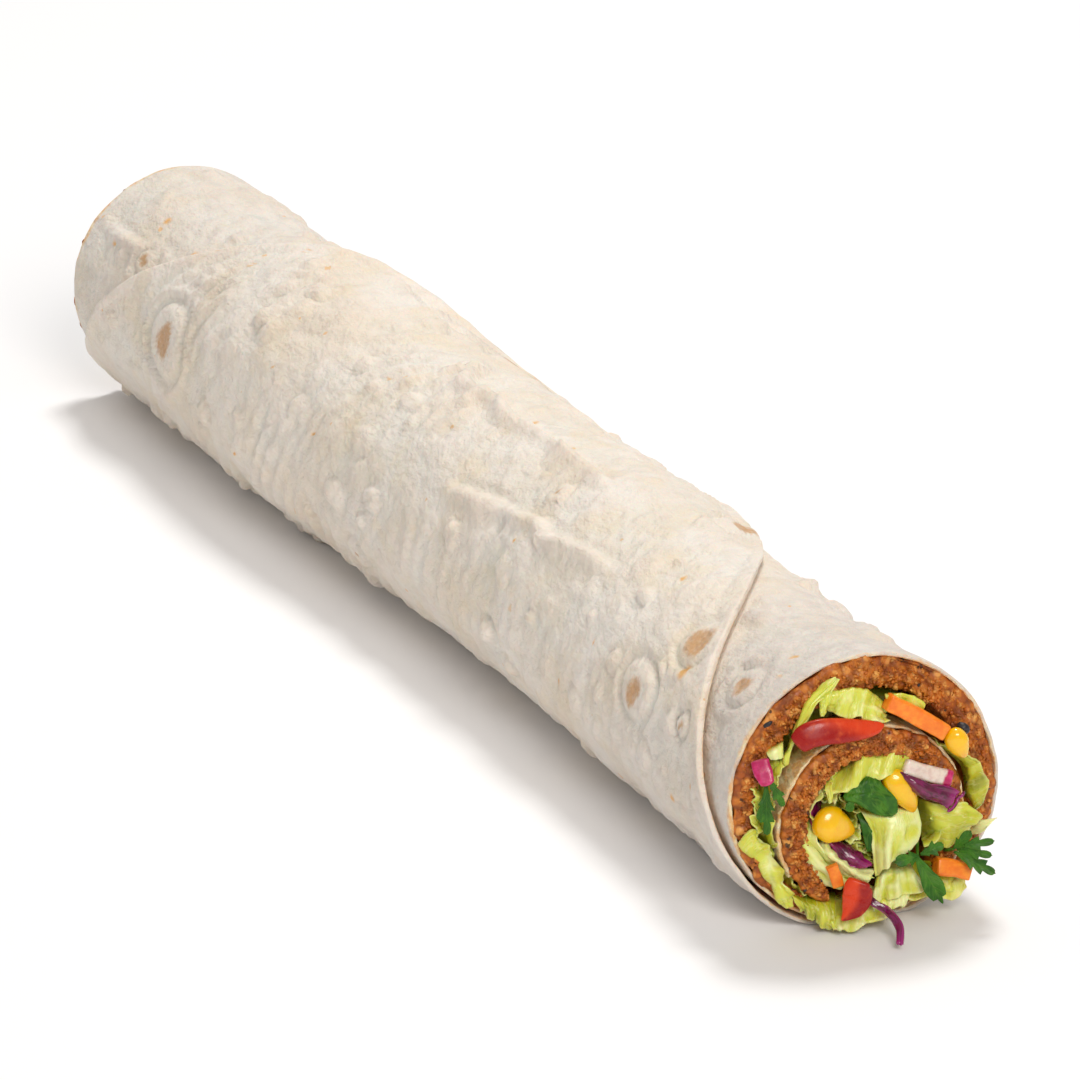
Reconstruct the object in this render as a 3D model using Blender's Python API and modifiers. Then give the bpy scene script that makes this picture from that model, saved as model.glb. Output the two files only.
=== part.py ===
"""Falafel wrap: one large round flatbread spread with a coarse falafel paste and rolled up
round lettuce, pepper, carrot, corn, red cabbage, radish and parsley, cut square at the near end.

Frame: metres, +Z up, resting on z = 0. +X runs along the roll to the near cut end, and the
origin is the middle of the underside. Sizes below are in millimetres and degrees.

A place in the roll is named by its turn angle: 0 at +Y, 90 at the top, 180 at -Y, 270 below,
growing inwards from the loose tip of the bread on the back to the tip in the middle."""
import bpy
import bmesh
import numpy as np
from mathutils import Matrix, Vector

MM = 0.001

# The roll
HALF_LENGTH = 187.4
RADIUS = 30.0
FLAT = 2.0
CUT_TILT = 0.0709

# The bread
BREAD = 1.2
LAP = 1.6
TIP_TURN = 29.0
LAST_TURN = 929.0
TURN_STEP = 15.0
DISC_RADIUS = 230.0
DISC_SKEW = 18.0
FLAP_MEETS_CUT = 214.0
SKEW_GROWS_OVER = 142.0
FIRST_TURNS = (0.6, 2.5, 6.5)

# The inner turns, which stand out of the near end and in from the far one
INNER_Y = 0.9
INNER_Z = 21.9
INNER_RADIUS = 20.2
PUSHED_OUT = 2.6

# The falafel paste, on the bread's inner face
GAP = 0.3
PASTE_FIRST = 314.0
PASTE_LAST = 959.0
PASTE_TURNS = (314, 344, 359, 404, 480, 530, 560, 585, 660, 690, 735, 900, 940, 959)
PASTE_DEPTHS = (0.7, 4.0, 5.0, 5.6, 6.0, 4.2, 3.3, 2.3, 2.2, 3.2, 4.6, 4.6, 4.2, 1.2)
CRAG = 0.8
CRAG_SEED = 7

# The salad
SALAD_END = 181.5
HEART_RADIUS = 13.2
HEART_DROP = 2.3
FOLD_FIRST = 404.0
FOLD_LAST = 569.0
ROOT_RADIUS = 11.6
ROOT_DEPTH = 3.0
LEAF = 0.9
LOWEST_LEAF = 0.8

# The line along which the places at the cut were read: sideways and up for each step out of the cut
SIGHT_SIDE = 0.458
SIGHT_RISE = 0.4085
FORWARD = (0.85, -0.39, 0.35)

# Finishes
BREAD_COLOUR = (0.82, 0.72, 0.58)
FALAFEL_COLOUR = (0.30, 0.10, 0.03)
LETTUCE_COLOUR = (0.64, 0.71, 0.22)
CARROT_COLOUR = (0.95, 0.30, 0.03)
CORN_COLOUR = (0.95, 0.60, 0.02)
PEPPER_COLOUR = (0.62, 0.05, 0.02)
CABBAGE_COLOUR = (0.14, 0.01, 0.06)
RADISH_COLOUR = (0.75, 0.62, 0.55)
RADISH_SKIN_COLOUR = (0.55, 0.02, 0.20)
HERB_COLOUR = (0.05, 0.20, 0.02)

# Stations along the roll where its section is set
STATIONS = (-187, -160, -136, -116, -100, -85, -70, -52, -24, 20, 57, 80, 105, 146, 170, 187)


def smooth(low, high, x):
    """Soft step from 0 at low to 1 at high."""
    t = np.clip((np.asarray(x, float) - low) / (high - low), 0.0, 1.0)
    return t * t * (3.0 - 2.0 * t)


def bell(x, centre, width):
    """Bell of height 1."""
    return np.exp(-((np.asarray(x, float) - centre) / width) ** 2)


def swell(x):
    """Size of the section along the roll: full at a third of its length, flared at the cut."""
    return (0.972 + 0.088 * bell(x, -90, 32) + 0.028 * bell(x, 70, 16) + 0.025 * smooth(-135, -165, x)
            + 0.030 * smooth(140, 170, x) + 0.048 * smooth(165, 187, x))


def bow(x):
    """Sideways bend of the roll towards +Y."""
    x = np.asarray(x, float)
    return 3.7 * np.where(x > 60, bell(x, 60, 95), bell(x, 60, 135))


def place(x, y, z):
    """A point of the straight, even roll carried into the real one, in metres."""
    size = swell(x)
    lean = CUT_TILT * y * smooth(100, HALF_LENGTH, x)
    return np.stack(np.broadcast_arrays(x + lean, bow(x) + size * y, size * z), axis=-1) * MM


def turn_centre(turn):
    """Centre, radius and floor of the bread's outer face at a turn angle."""
    under = smooth(330, 385, turn)
    inner = smooth(636, 728, turn)
    y = INNER_Y * inner
    z = RADIUS - FLAT + (INNER_Z - RADIUS + FLAT) * inner
    radius = RADIUS - LAP * under + (INNER_RADIUS - RADIUS + LAP) * inner
    return y, z, radius, LAP * under


def layer(turn, depth):
    """The point at a depth below the bread's outer face: a circle with a flat underside."""
    y, z, radius, floor = turn_centre(turn)
    angle = np.radians(turn)
    side = y + (radius - depth) * np.cos(angle)
    return side, np.maximum(z + (radius - depth) * np.sin(angle), floor + depth)


def reach(turn):
    """Ends of the bread along the roll: the round edge of the disc, then the roll's own ends."""
    run = np.radians(np.maximum(turn - TIP_TURN, 0.0)) * RADIUS
    half = np.sqrt(np.maximum(DISC_RADIUS ** 2 - np.maximum(DISC_RADIUS - run, 0.0) ** 2, 0.0))
    skew = DISC_SKEW * np.clip((FLAP_MEETS_CUT - turn) / SKEW_GROWS_OVER, 0.0, 1.0)
    push = PUSHED_OUT * smooth(600, 735, turn)
    low = np.maximum(skew - half, -HALF_LENGTH)
    high = np.minimum(skew + half, HALF_LENGTH)
    return low + push, high + push


def at_cut(y, z, out):
    """A place that shows at (y, z) in the cut's plane, for a piece that stands out of it.

    Seen from in front, to the left and above, so what stands out is drawn back along that line."""
    y_true = np.asarray(y, float) - SIGHT_SIDE * out
    z_true = np.asarray(z, float) + SIGHT_RISE * out
    x = HALF_LENGTH + CUT_TILT * y_true + out
    return np.stack(np.broadcast_arrays(x, y_true, z_true), axis=-1)


def at_far(y, z, out):
    """A place on the far end, standing out of it by out."""
    spot = np.broadcast_arrays(-HALF_LENGTH - out, np.asarray(y, float), np.asarray(z, float))
    return np.stack(spot, axis=-1)


def along(corners, share):
    """Points at shares of the length of a line through the corners."""
    corners = np.array(corners, float)
    run = np.concatenate([[0.0], np.cumsum(np.linalg.norm(np.diff(corners, axis=0), axis=1))])
    columns = [np.interp(share * run[-1], run, column) for column in corners.T]
    return np.stack(columns, axis=-1)


def material(name, colour, roughness):
    """A plain finish with the food's colour."""
    finish = bpy.data.materials.new(name)
    finish.use_nodes = True
    shader = finish.node_tree.nodes["Principled BSDF"]
    shader.inputs["Base Color"].default_value = (*colour, 1.0)
    shader.inputs["Roughness"].default_value = roughness
    shader.inputs["Metallic"].default_value = 0.0
    return finish


def add(name, mesh, collection, colour, roughness=0.5):
    """An object for a mesh, with its own material, in a collection."""
    piece = bpy.data.objects.new(name, mesh)
    collection.objects.link(piece)
    mesh.materials.append(material(name, colour, roughness))
    mesh.shade_smooth()
    return piece


def sheet(name, rows, columns, shape):
    """A grid primitive whose corners (u, v), each from 0 to 1, are carried to shape(u, v)."""
    mesh = bpy.data.meshes.new(name)
    grid = bmesh.new()
    bmesh.ops.create_grid(grid, x_segments=rows, y_segments=columns, size=0.5)
    grid.to_mesh(mesh)
    grid.free()
    corners = np.empty(len(mesh.vertices) * 3)
    mesh.vertices.foreach_get("co", corners)
    u, v = corners.reshape(-1, 3)[:, 0] + 0.5, corners.reshape(-1, 3)[:, 1] + 0.5
    mesh.vertices.foreach_set("co", shape(u, v).ravel())
    mesh.update()
    return mesh


def tube(name, rows, sides, shape):
    """A sheet whose v = 0 and v = 1 edges meet, with both ends filled: a closed loft."""
    mesh = sheet(name, rows, sides, shape)
    loft = bmesh.new()
    loft.from_mesh(mesh)
    bmesh.ops.remove_doubles(loft, verts=loft.verts, dist=0.00001)
    bmesh.ops.holes_fill(loft, edges=[edge for edge in loft.edges if edge.is_boundary], sides=0)
    bmesh.ops.triangulate(loft, faces=loft.faces)
    bmesh.ops.recalc_face_normals(loft, faces=loft.faces)
    if loft.calc_volume(signed=True) < 0.0:
        bmesh.ops.reverse_faces(loft, faces=loft.faces)
    loft.to_mesh(mesh)
    loft.free()
    return mesh


def thicken(piece, thickness, offset=0.0):
    """Gives a sheet its thickness: offset -1 sinks it below the outer face, 0 puts half to each side.

    Sharply bent sheets take half to each side, without the even offset that would spike at folds."""
    wall = piece.modifiers.new("thickness", "SOLIDIFY")
    wall.thickness = thickness * MM
    wall.offset = offset
    wall.use_even_offset = offset != 0.0
    return piece


def flatbread(collection):
    """The bread: a round sheet, rolled from the tip on the back inwards."""
    lattice = np.arange(TIP_TURN + TURN_STEP, LAST_TURN + 1.0, TURN_STEP)
    turns = np.concatenate([TIP_TURN + np.array(FIRST_TURNS), lattice])
    shares = (np.array(STATIONS, float) - STATIONS[0]) / (STATIONS[-1] - STATIONS[0])

    def shape(u, v):
        turn = np.interp(u, np.linspace(0, 1, len(turns)), turns)
        low, high = reach(turn)
        x = low + (high - low) * np.interp(v, np.linspace(0, 1, len(shares)), shares)
        return place(x, *layer(turn, 0.0))

    mesh = sheet("flatbread", len(turns) - 1, len(shares) - 1, shape)
    return thicken(add("flatbread", mesh, collection, BREAD_COLOUR, 0.7), BREAD, -1.0)


def paste_depth(turn):
    """Thickness of the falafel paste."""
    return np.interp(turn, PASTE_TURNS, PASTE_DEPTHS)


def falafel(collection):
    """The paste: a spiral slab that follows the bread, with craggy ends."""
    turns = np.arange(PASTE_FIRST, PASTE_LAST + 1.0, TURN_STEP)
    outer = (np.array(STATIONS, float) - STATIONS[0]) / (STATIONS[-1] - STATIONS[0])
    inner = outer[[15, 14, 12, 10, 8, 6, 4, 2, 0]]
    shares = np.concatenate([outer, [1.0], inner, [0.0]])
    depth = np.concatenate([np.zeros(16), [0.5], np.ones(9), [0.5]])
    draw = np.random.default_rng(CRAG_SEED)
    crags = draw.uniform(-1.0, 1.0, (len(turns), 2, 3))

    def shape(u, v):
        row = np.rint(u * (len(turns) - 1)).astype(int)
        spot = np.rint(v * len(shares)).astype(int) % len(shares)
        turn = turns[row]
        low, high = reach(turn)
        end = np.where(shares[spot] >= 1.0, 1, 0) - np.where(shares[spot] <= 0.0, 1, 0)
        step = np.rint(depth[spot] * 2).astype(int)
        rough = CRAG * (0.5 * crags[row, (end + 1) // 2, step] + np.where(step == 1, 0.6, -0.4))
        x = low + (high - low) * shares[spot] + end * np.where(step == 0, np.minimum(rough, 0.0), rough)
        return place(x, *layer(turn, BREAD + GAP + paste_depth(turn) * depth[spot]))

    mesh = tube("falafel_layer", len(turns) - 1, len(shares), shape)
    return add("falafel_layer", mesh, collection, FALAFEL_COLOUR, 0.6)


def heart_radius(angle):
    """The space in the middle of the roll, lower where the paste below is thin."""
    return HEART_RADIUS + HEART_DROP * bell(angle, np.radians(280), 0.75)


def heart_core(collection):
    """The bare salad core in the middle of the roll."""
    ends = (-SALAD_END, -176, -150, -116, -85, -52, -10, 40, 80, 115, 150, 172, SALAD_END - 3, SALAD_END)
    squeeze = np.concatenate([[0.8], np.ones(len(ends) - 2), [0.8]])

    def shape(u, v):
        row = u * (len(ends) - 1)
        angle = 2 * np.pi * v
        radius = heart_radius(angle) * np.interp(row, range(len(ends)), squeeze)
        radius = radius * (1 + 0.03 * np.sin(3 * angle + 1.7 * row))
        radius = np.minimum(radius, heart_radius(angle))
        x = np.interp(row, range(len(ends)), ends)
        return place(x, INNER_Y + radius * np.cos(angle), INNER_Z + radius * np.sin(angle))

    mesh = tube("lettuce_heart", len(ends) - 1, 14, shape)
    return add("lettuce_heart", mesh, collection, LETTUCE_COLOUR)


def fold_band(turn, share):
    """The space between the outer paste (share 0) and the turn of bread inside it (share 1).

    The inner turn's distance is where a ray from the outer turn's centre meets its circle."""
    angle = np.radians(turn)
    outer = RADIUS - LAP - BREAD - paste_depth(turn) - 5 * GAP
    rise = INNER_Z - RADIUS + FLAT
    ahead = INNER_Y * np.cos(angle) + rise * np.sin(angle)
    inner = ahead + np.sqrt((INNER_RADIUS + 2 * GAP) ** 2 - INNER_Y ** 2 - rise ** 2 + ahead ** 2)
    radius = outer + (inner - outer) * share
    return radius * np.cos(angle), RADIUS - FLAT + radius * np.sin(angle)


def fold_core(collection):
    """The bare salad between two turns of the roll."""
    turns = np.arange(FOLD_FIRST, FOLD_LAST + 1.0, TURN_STEP)
    run = np.clip(STATIONS, -SALAD_END, SALAD_END)
    stations = np.concatenate([run, run[::-1]])
    share = np.concatenate([np.zeros(len(run)), np.ones(len(run))])

    def shape(u, v):
        turn = np.interp(u, np.linspace(0, 1, len(turns)), turns)
        spot = np.rint(v * len(stations)).astype(int) % len(stations)
        return place(stations[spot], *fold_band(turn, share[spot]))

    mesh = tube("lettuce_fold", len(turns) - 1, len(stations), shape)
    return add("lettuce_fold", mesh, collection, LETTUCE_COLOUR)


def leaf(name, root, tip, waves, height, rows, collection):
    """A thin wavy leaf from the root line, inside a core, out to the tip line, both in mm.

    It runs straight out first and spreads at its end, and its waves grow towards the tip."""

    def shape(u, v):
        spread = np.interp(v, (0, 1 / 3, 2 / 3, 1), (0.0, 0.10, 0.58, 1.0))[:, None]
        stand = np.interp(v, (0, 1 / 3, 2 / 3, 1), (0.0, 0.84, 0.95, 1.0))
        start, end = along(root, u), along(tip, u)
        point = start + (end - start) * spread
        point[:, 0] = start[:, 0] + (end[:, 0] - start[:, 0]) * stand
        point[:, 0] += height * v * np.sin(2 * np.pi * waves * u + 0.8)
        point[:, 1] += 0.4 * height * v * np.cos(2 * np.pi * waves * u)
        point[:, 2] = np.maximum(point[:, 2], LOWEST_LEAF)
        return point * MM

    mesh = sheet(name, rows, 3, shape)
    facets = bmesh.new()
    facets.from_mesh(mesh)
    bmesh.ops.triangulate(facets, faces=facets.faces)
    facets.to_mesh(mesh)
    facets.free()
    piece = thicken(add(name, mesh, collection, LETTUCE_COLOUR), LEAF)
    piece.modifiers.new("facets", "TRIANGULATE")
    return piece


def largest_island(mesh):
    """Merges the corners that a union leaves on top of each other, and drops scraps and hollows."""
    whole = bmesh.new()
    whole.from_mesh(mesh)
    bmesh.ops.triangulate(whole, faces=whole.faces)
    bmesh.ops.remove_doubles(whole, verts=whole.verts, dist=0.00002)
    bmesh.ops.dissolve_degenerate(whole, edges=whole.edges, dist=0.00001)
    islands = []
    left = set(whole.verts)
    while left:
        island = {left.pop()}
        front = set(island)
        while front:
            front = {edge.other_vert(corner) for corner in front for edge in corner.link_edges} - island
            island |= front
        left -= island
        islands.append(island)
    kept = max(islands, key=len)
    bmesh.ops.delete(whole, geom=[corner for corner in whole.verts if corner not in kept], context="VERTS")
    doubled = {}
    for face in whole.faces:
        doubled.setdefault(frozenset(face.verts), []).append(face)
    flaps = [face for group in doubled.values() if len(group) > 1 for face in group]
    bmesh.ops.delete(whole, geom=flaps, context="FACES")
    whole.to_mesh(mesh)
    whole.free()
    return mesh


def fuse(core, leaves, name):
    """Joins the leaves to their core in one union, and removes them."""
    joint = core.modifiers.new("union", "BOOLEAN")
    joint.operation = "UNION"
    joint.operand_type = "COLLECTION"
    joint.collection = leaves
    joint.solver = "MANIFOLD"
    bpy.context.view_layer.update()
    graph = bpy.context.evaluated_depsgraph_get()
    joined = bpy.data.meshes.new_from_object(core.evaluated_get(graph))
    core.modifiers.clear()
    core.data = largest_island(joined)
    joined.name = name
    for piece in list(leaves.objects):
        bpy.data.objects.remove(piece, do_unlink=True)
    bpy.data.collections.remove(leaves)
    return core


def seat(points, end):
    """Roots in the heart's core for tips at the given points, 3 mm inside its end."""
    centre = np.array([INNER_Y, INNER_Z]) * swell(HALF_LENGTH)
    away = np.array(points, float)[:, 1:] - centre
    distance = np.linalg.norm(away, axis=1, keepdims=True)
    away = away * np.minimum(1.0, ROOT_RADIUS / np.maximum(distance, 1e-6))
    x = np.full((len(away), 1), end * (SALAD_END - ROOT_DEPTH))
    return np.concatenate([x, centre + away], axis=1)


def fold_seat(points, end):
    """Roots in the middle of the fold's core, at the turn angles of the given points."""
    away = np.array(points, float)[:, 1:] - np.array([0.0, RADIUS - FLAT]) * swell(HALF_LENGTH)
    turn = 270.0 + (np.degrees(np.arctan2(away[:, 1], away[:, 0])) + 90.0) % 360.0
    turn = np.clip(turn, FOLD_FIRST + 4.0, FOLD_LAST - 4.0)
    return place(np.full(len(turn), end * (SALAD_END - ROOT_DEPTH)), *fold_band(turn, 0.5)) / MM


# Leaves at the near end: seat, places in the cut's plane, how far they stand out, waves, their height
NEAR_HEART = (
    (((-6, 34), (0, 36), (6, 36.3), (12, 33)), 0.6, 2.5, 0.9),
    (((-8, 31), (-7, 27.5), (-4, 27)), 3.2, 1.0, 0.5),
    (((-12, 19.5), (-8.5, 13), (-2, 10)), 1.2, 1.5, 0.7),
    (((3, 19), (5, 10.5), (10, 11), (13.5, 16)), 4.6, 2.0, 0.7),
    (((15, 25.5), (22.5, 24.5), (27, 19), (20, 13.5)), 6.0, 1.5, 0.6),
    (((3.5, 5), (10, 3.8), (14.5, 7)), 6.2, 2.0, 0.6),
    (((-8, 0.5), (-3, -1.6), (3, -1.2), (9, 2)), 7.6, 2.5, 0.6),
    (((18.5, 3), (22.5, 2), (24.5, 5)), 5.4, 1.0, 0.4),
)
NEAR_FOLD = (
    (((-16, 38), (-15, 43), (-12, 50), (-6, 54.5)), 2.4, 1.5, 0.4),
    (((-8, 50.5), (-2, 51.5), (3, 50.5), (6.5, 47)), 2.6, 2.5, 0.5),
    (((-26, 22), (-21.5, 15), (-16, 6)), 2.4, 1.5, 0.4),
    (((-23, 33.5), (-24, 28), (-22, 23.5)), 2.4, 1.5, 0.3),
)
FAR_HEART = (
    (((-7, 30), (0, 34), (8, 33)), 1.0, 2.0, 0.8),
    (((-9, 20), (-4, 13), (3, 11)), 2.5, 2.0, 0.8),
    (((12, 28), (11, 20), (8, 14)), 1.5, 1.5, 0.7),
)
FAR_FOLD = (
    (((-14, 42), (-6, 46.5), (3, 47)), 1.0, 2.5, 0.4),
    (((-21, 33), (-21.5, 24), (-18, 16)), 1.0, 2.0, 0.4),
)


def lettuce(collection, leaves):
    """Both salad nodes: bare cores with the leaves that show at the ends fused on."""
    for core, near, far, root in ((heart_core(collection), NEAR_HEART, FAR_HEART, seat),
                                  (fold_core(collection), NEAR_FOLD, FAR_FOLD, fold_seat)):
        held = bpy.data.collections.new("leaves of " + core.name)
        leaves.children.link(held)
        for end, group, show in ((1, near, at_cut), (-1, far, at_far)):
            for number, (line, out, waves, height) in enumerate(group):
                line = np.array(line, float)
                tip = show(line[:, 0], line[:, 1], out)
                rows = len(line) + 2
                leaf(f"{core.name}_{end}_{number}", root(tip, end), tip, waves, height, rows, held)
        fuse(core, held, core.name)


def frame_of(start, end, up):
    """Turning and place that put local X from start to end, with local Z nearest to up."""
    start, end, up = Vector(start), Vector(end), Vector(up)
    x = (end - start).normalized()
    y = up.cross(x).normalized()
    turn = Matrix((x, y, x.cross(y))).transposed().to_4x4()
    return Matrix.Translation((start + end) * 0.5 * MM) @ turn


def stick(name, start, end, width, depth, up, collection, colour, roughness=0.4):
    """A cut stick with square ends and softened edges."""
    mesh = bpy.data.meshes.new(name)
    box = bmesh.new()
    bmesh.ops.create_cube(box, size=1.0)
    length = float(np.linalg.norm(np.array(end) - np.array(start)))
    bmesh.ops.scale(box, vec=Vector((length, width, depth)) * MM, verts=box.verts)
    box.to_mesh(mesh)
    box.free()
    piece = add(name, mesh, collection, colour, roughness)
    piece.matrix_world = frame_of(start, end, up)
    edge = piece.modifiers.new("edge", "BEVEL")
    edge.width = 0.45 * MM
    edge.segments = 1
    return piece


def kernel(name, centre, tip, size, collection):
    """A corn kernel of a length, width and depth: a full crown that narrows to its tip cap."""
    mesh = bpy.data.meshes.new(name)
    ball = bmesh.new()
    bmesh.ops.create_uvsphere(ball, u_segments=8, v_segments=6, radius=0.5)
    for corner in ball.verts:
        share = 0.5 - corner.co.z
        narrow = 1.0 - 0.42 * share * share
        x, y, z = corner.co.z, corner.co.x * narrow, corner.co.y * narrow
        corner.co = Vector((x * size[0], y * size[1], z * size[2])) * MM
    ball.to_mesh(mesh)
    ball.free()
    piece = add(name, mesh, collection, CORN_COLOUR, 0.25)
    middle = Vector(centre)
    reach_out = Vector(tip) - middle
    piece.matrix_world = frame_of(middle - reach_out, middle + reach_out, (1, 0, 0))
    return piece


def ribbon(name, line, width, thickness, face, collection, colour, rows=7, taper=0.6, curl=0.0):
    """A strip of even thickness along a line, across it in its own plane.

    Its width follows half a sine, raised to taper, and curl bends its edges out of the plane."""
    face = np.array(face, float) / np.linalg.norm(face)

    def shape(u, v):
        middle = along(line, u)
        ahead = along(line, np.minimum(u + 0.02, 1.0)) - along(line, np.maximum(u - 0.02, 0.0))
        across = np.cross(ahead, face)
        across /= np.linalg.norm(across, axis=1, keepdims=True)
        half = 0.5 * width * np.maximum(np.sin(np.pi * (0.06 + 0.88 * u)), 0.05) ** taper
        side = 2.0 * v - 1.0
        return (middle + across * (half * side)[:, None] + face * (curl * (side ** 2 - 0.5))[:, None]) * MM

    return thicken(add(name, sheet(name, rows, 2, shape), collection, colour, 0.35), thickness)


def sprig(name, stem, tip, spread, face, collection, colour):
    """A parsley leaf: three lobes with pointed teeth on a short stem, flat and thin."""
    outline = bpy.data.curves.new(name, "CURVE")
    outline.dimensions = "2D"
    outline.fill_mode = "BOTH"
    outline.extrude = 0.4 * MM
    length = float(np.linalg.norm(np.array(tip) - np.array(stem)))
    half = [(-0.50, 0.05), (-0.22, 0.08), (-0.20, 0.42), (-0.06, 0.50), (0.02, 0.30), (0.14, 0.34),
            (0.10, 0.14), (0.30, 0.22), (0.32, 0.08)]
    corners = half + [(0.50, 0.0)] + [(x, -y) for x, y in reversed(half)]
    line = outline.splines.new("POLY")
    line.points.add(len(corners) - 1)
    for point, (x, y) in zip(line.points, corners):
        point.co = (x * length * MM, y * spread * MM, 0.0, 1.0)
    line.use_cyclic_u = True
    outline.materials.append(material(name, colour, 0.45))
    piece = bpy.data.objects.new(name, outline)
    collection.objects.link(piece)
    piece.matrix_world = frame_of(stem, tip, face)
    return piece


def arc(radius, first, last, x):
    """Points on an arc about the inner turns' centre, from one turn angle to another, at a place x."""
    centre = swell(x) * np.array([INNER_Y, INNER_Z])
    angles = np.radians(np.linspace(first, last, 8))
    return [(x, centre[0] + radius * np.cos(angle), centre[1] + radius * np.sin(angle)) for angle in angles]


def near_toppings(collection):
    """The pieces that lie in and out of the near end, each a solid of its own."""
    crescent = arc(INNER_RADIUS * swell(HALF_LENGTH) + 2.9, 131, 86, HALF_LENGTH)
    crescent = [(x + 5.5, y, z) for x, y, z in crescent]
    ribbon("pepper_strip", crescent, 5.4, 5.0, (1, 0, 0), collection, PEPPER_COLOUR, taper=0.75, curl=0.4)
    wedge = [at_cut(-1.5, 9, 9.4), at_cut(-1.2, 5, 9.6), at_cut(-3.2, 1.4, 9.8)]
    ribbon("pepper_wedge", wedge, 6.2, 2.0, FORWARD, collection, PEPPER_COLOUR, rows=5, curl=0.4)

    for name, start, end, width, depth, up in (
            ("carrot_top", (7.5, 47.0, 5.2), (18.8, 39.4, 5.2), 3.9, 3.4, (1, 0, 0)),
            ("carrot_right", (17.5, 9.3, 7.6), (24.6, 7.2, 7.6), 3.8, 3.4, FORWARD),
            ("carrot_chip", (-6.0, 12.6, 6.2), (-4.6, 8.6, 6.2), 2.4, 1.6, FORWARD)):
        stick(name, at_cut(*start), at_cut(*end), width, depth, up, collection, CARROT_COLOUR)

    for name, centre, tip, size in (
            ("corn_1", (8.6, 27.2, 3.2), (5.2, 32.2, 3.0), (10.6, 5.4, 5.0)),
            ("corn_2", (-5.2, 22.2, 1.6), (-9.0, 23.6, 1.4), (9.2, 8.0, 4.6)),
            ("corn_3", (22.2, 36.4, 5.8), (20.8, 39.4, 5.8), (7.4, 5.2, 4.2))):
        kernel(name, at_cut(*centre), at_cut(*tip), size, collection)

    right = [at_cut(9.5, 32.2, 7.5), at_cut(15, 29, 7.5), at_cut(21.5, 25, 7.7)]
    ribbon("red_cabbage_right", right, 3.6, 1.0, FORWARD, collection, CABBAGE_COLOUR, rows=5, curl=-0.3)
    bend = ((-11.3, 27, -1.8), (-8.3, 20.8, -2.6), (-4, 16.2, -2.6), (-0.8, 15.0, -1.8))
    left = [at_cut(*corner) for corner in bend]
    ribbon("red_cabbage_left", left, 3.6, 1.0, FORWARD, collection, CABBAGE_COLOUR, rows=6, curl=0.3)
    strand = [at_cut(2.5, 3.4, 9.0), at_cut(6, 1.2, 11.5), at_cut(9, -2.6, 15.5), at_cut(9.2, -6.6, 20.0)]
    ribbon("red_cabbage_strand", strand, 2.2, 1.0, (-0.1, -0.6, 0.8), collection, CABBAGE_COLOUR, rows=6)

    slice_line = [at_cut(10.5, 33.8, 5.0), at_cut(15.5, 31.8, 5.0), at_cut(20.5, 29.6, 5.0)]
    ribbon("radish_slice", slice_line, 3.2, 2.2, FORWARD, collection, RADISH_COLOUR, rows=4, taper=0.25)
    chip = [at_cut(-22.4, 38.4, 2.6), at_cut(-20.8, 33.6, 5.6)]
    ribbon("radish_chip", chip, 4.0, 1.4, FORWARD, collection, RADISH_SKIN_COLOUR, rows=3, taper=0.4)

    for name, stem, tip, spread in (
            ("parsley_right", (21.5, 14.8, 8.2), (30.5, 8.6, 13.0), 9.5),
            ("parsley_low", (12.0, 14.2, 7.6), (18.6, 2.0, 11.4), 8.6),
            ("parsley_left", (-19.6, 34.4, 4.1), (-20.6, 22.6, 4.3), 5.4),
            ("green_leaf_middle", (-3.6, 29.6, 4.6), (8.4, 24.6, 6.6), 8.0)):
        sprig(name, at_cut(*stem), at_cut(*tip), spread, FORWARD, collection, HERB_COLOUR)


def far_toppings(collection):
    """A few pieces of the same filling in the far end."""
    back = (-1, 0, 0)
    stick("carrot_far", at_far(3.6, 19.0, -2.2), at_far(7.6, 27.6, -2.2), 3.6, 3.2, back, collection,
          CARROT_COLOUR)
    kernel("corn_far_1", at_far(-5.0, 25.0, -0.6), at_far(-8.0, 27.5, -0.6), (8.6, 6.6, 4.4), collection)
    kernel("corn_far_2", at_far(-2.4, 19.2, -1.4), at_far(-5.4, 18.8, -1.4), (8.4, 6.0, 4.2), collection)
    strip = arc(INNER_RADIUS * swell(-HALF_LENGTH) + 2.8, 80, 46, -HALF_LENGTH)
    strip = [(x + 1.6, y, z) for x, y, z in strip]
    ribbon("pepper_far", strip, 3.4, 3.4, back, collection, PEPPER_COLOUR, taper=0.6)
    shred = [at_far(-3, 31, 1.6), at_far(2, 26, 1.9), at_far(3, 20, 1.6)]
    ribbon("red_cabbage_far", shred, 3.0, 1.0, back, collection, CABBAGE_COLOUR, rows=5)


def build():
    """The whole wrap."""
    for old in list(bpy.data.objects):
        bpy.data.objects.remove(old, do_unlink=True)
    wrap = bpy.data.collections.new("falafel_wrap")
    leaves = bpy.data.collections.new("leaves")
    bpy.context.scene.collection.children.link(wrap)
    bpy.context.scene.collection.children.link(leaves)
    flatbread(wrap)
    falafel(wrap)
    lettuce(wrap, leaves)
    near_toppings(wrap)
    far_toppings(wrap)


build()
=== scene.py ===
"""Falafel wrap: the finish of a rolled flatbread with falafel paste and salad.

Each piece is a surface worked out with numpy over the solid it stands for. Lengths inside the
functions are millimetres, a place is (x along the roll, y, z), and the last step of each mesh
turns millimetres into metres. A place in the roll is named by its turn angle in degrees, counted
inwards from the loose tip of the bread: 90 is on top, 180 faces -Y, 270 is below."""
import math

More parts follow.
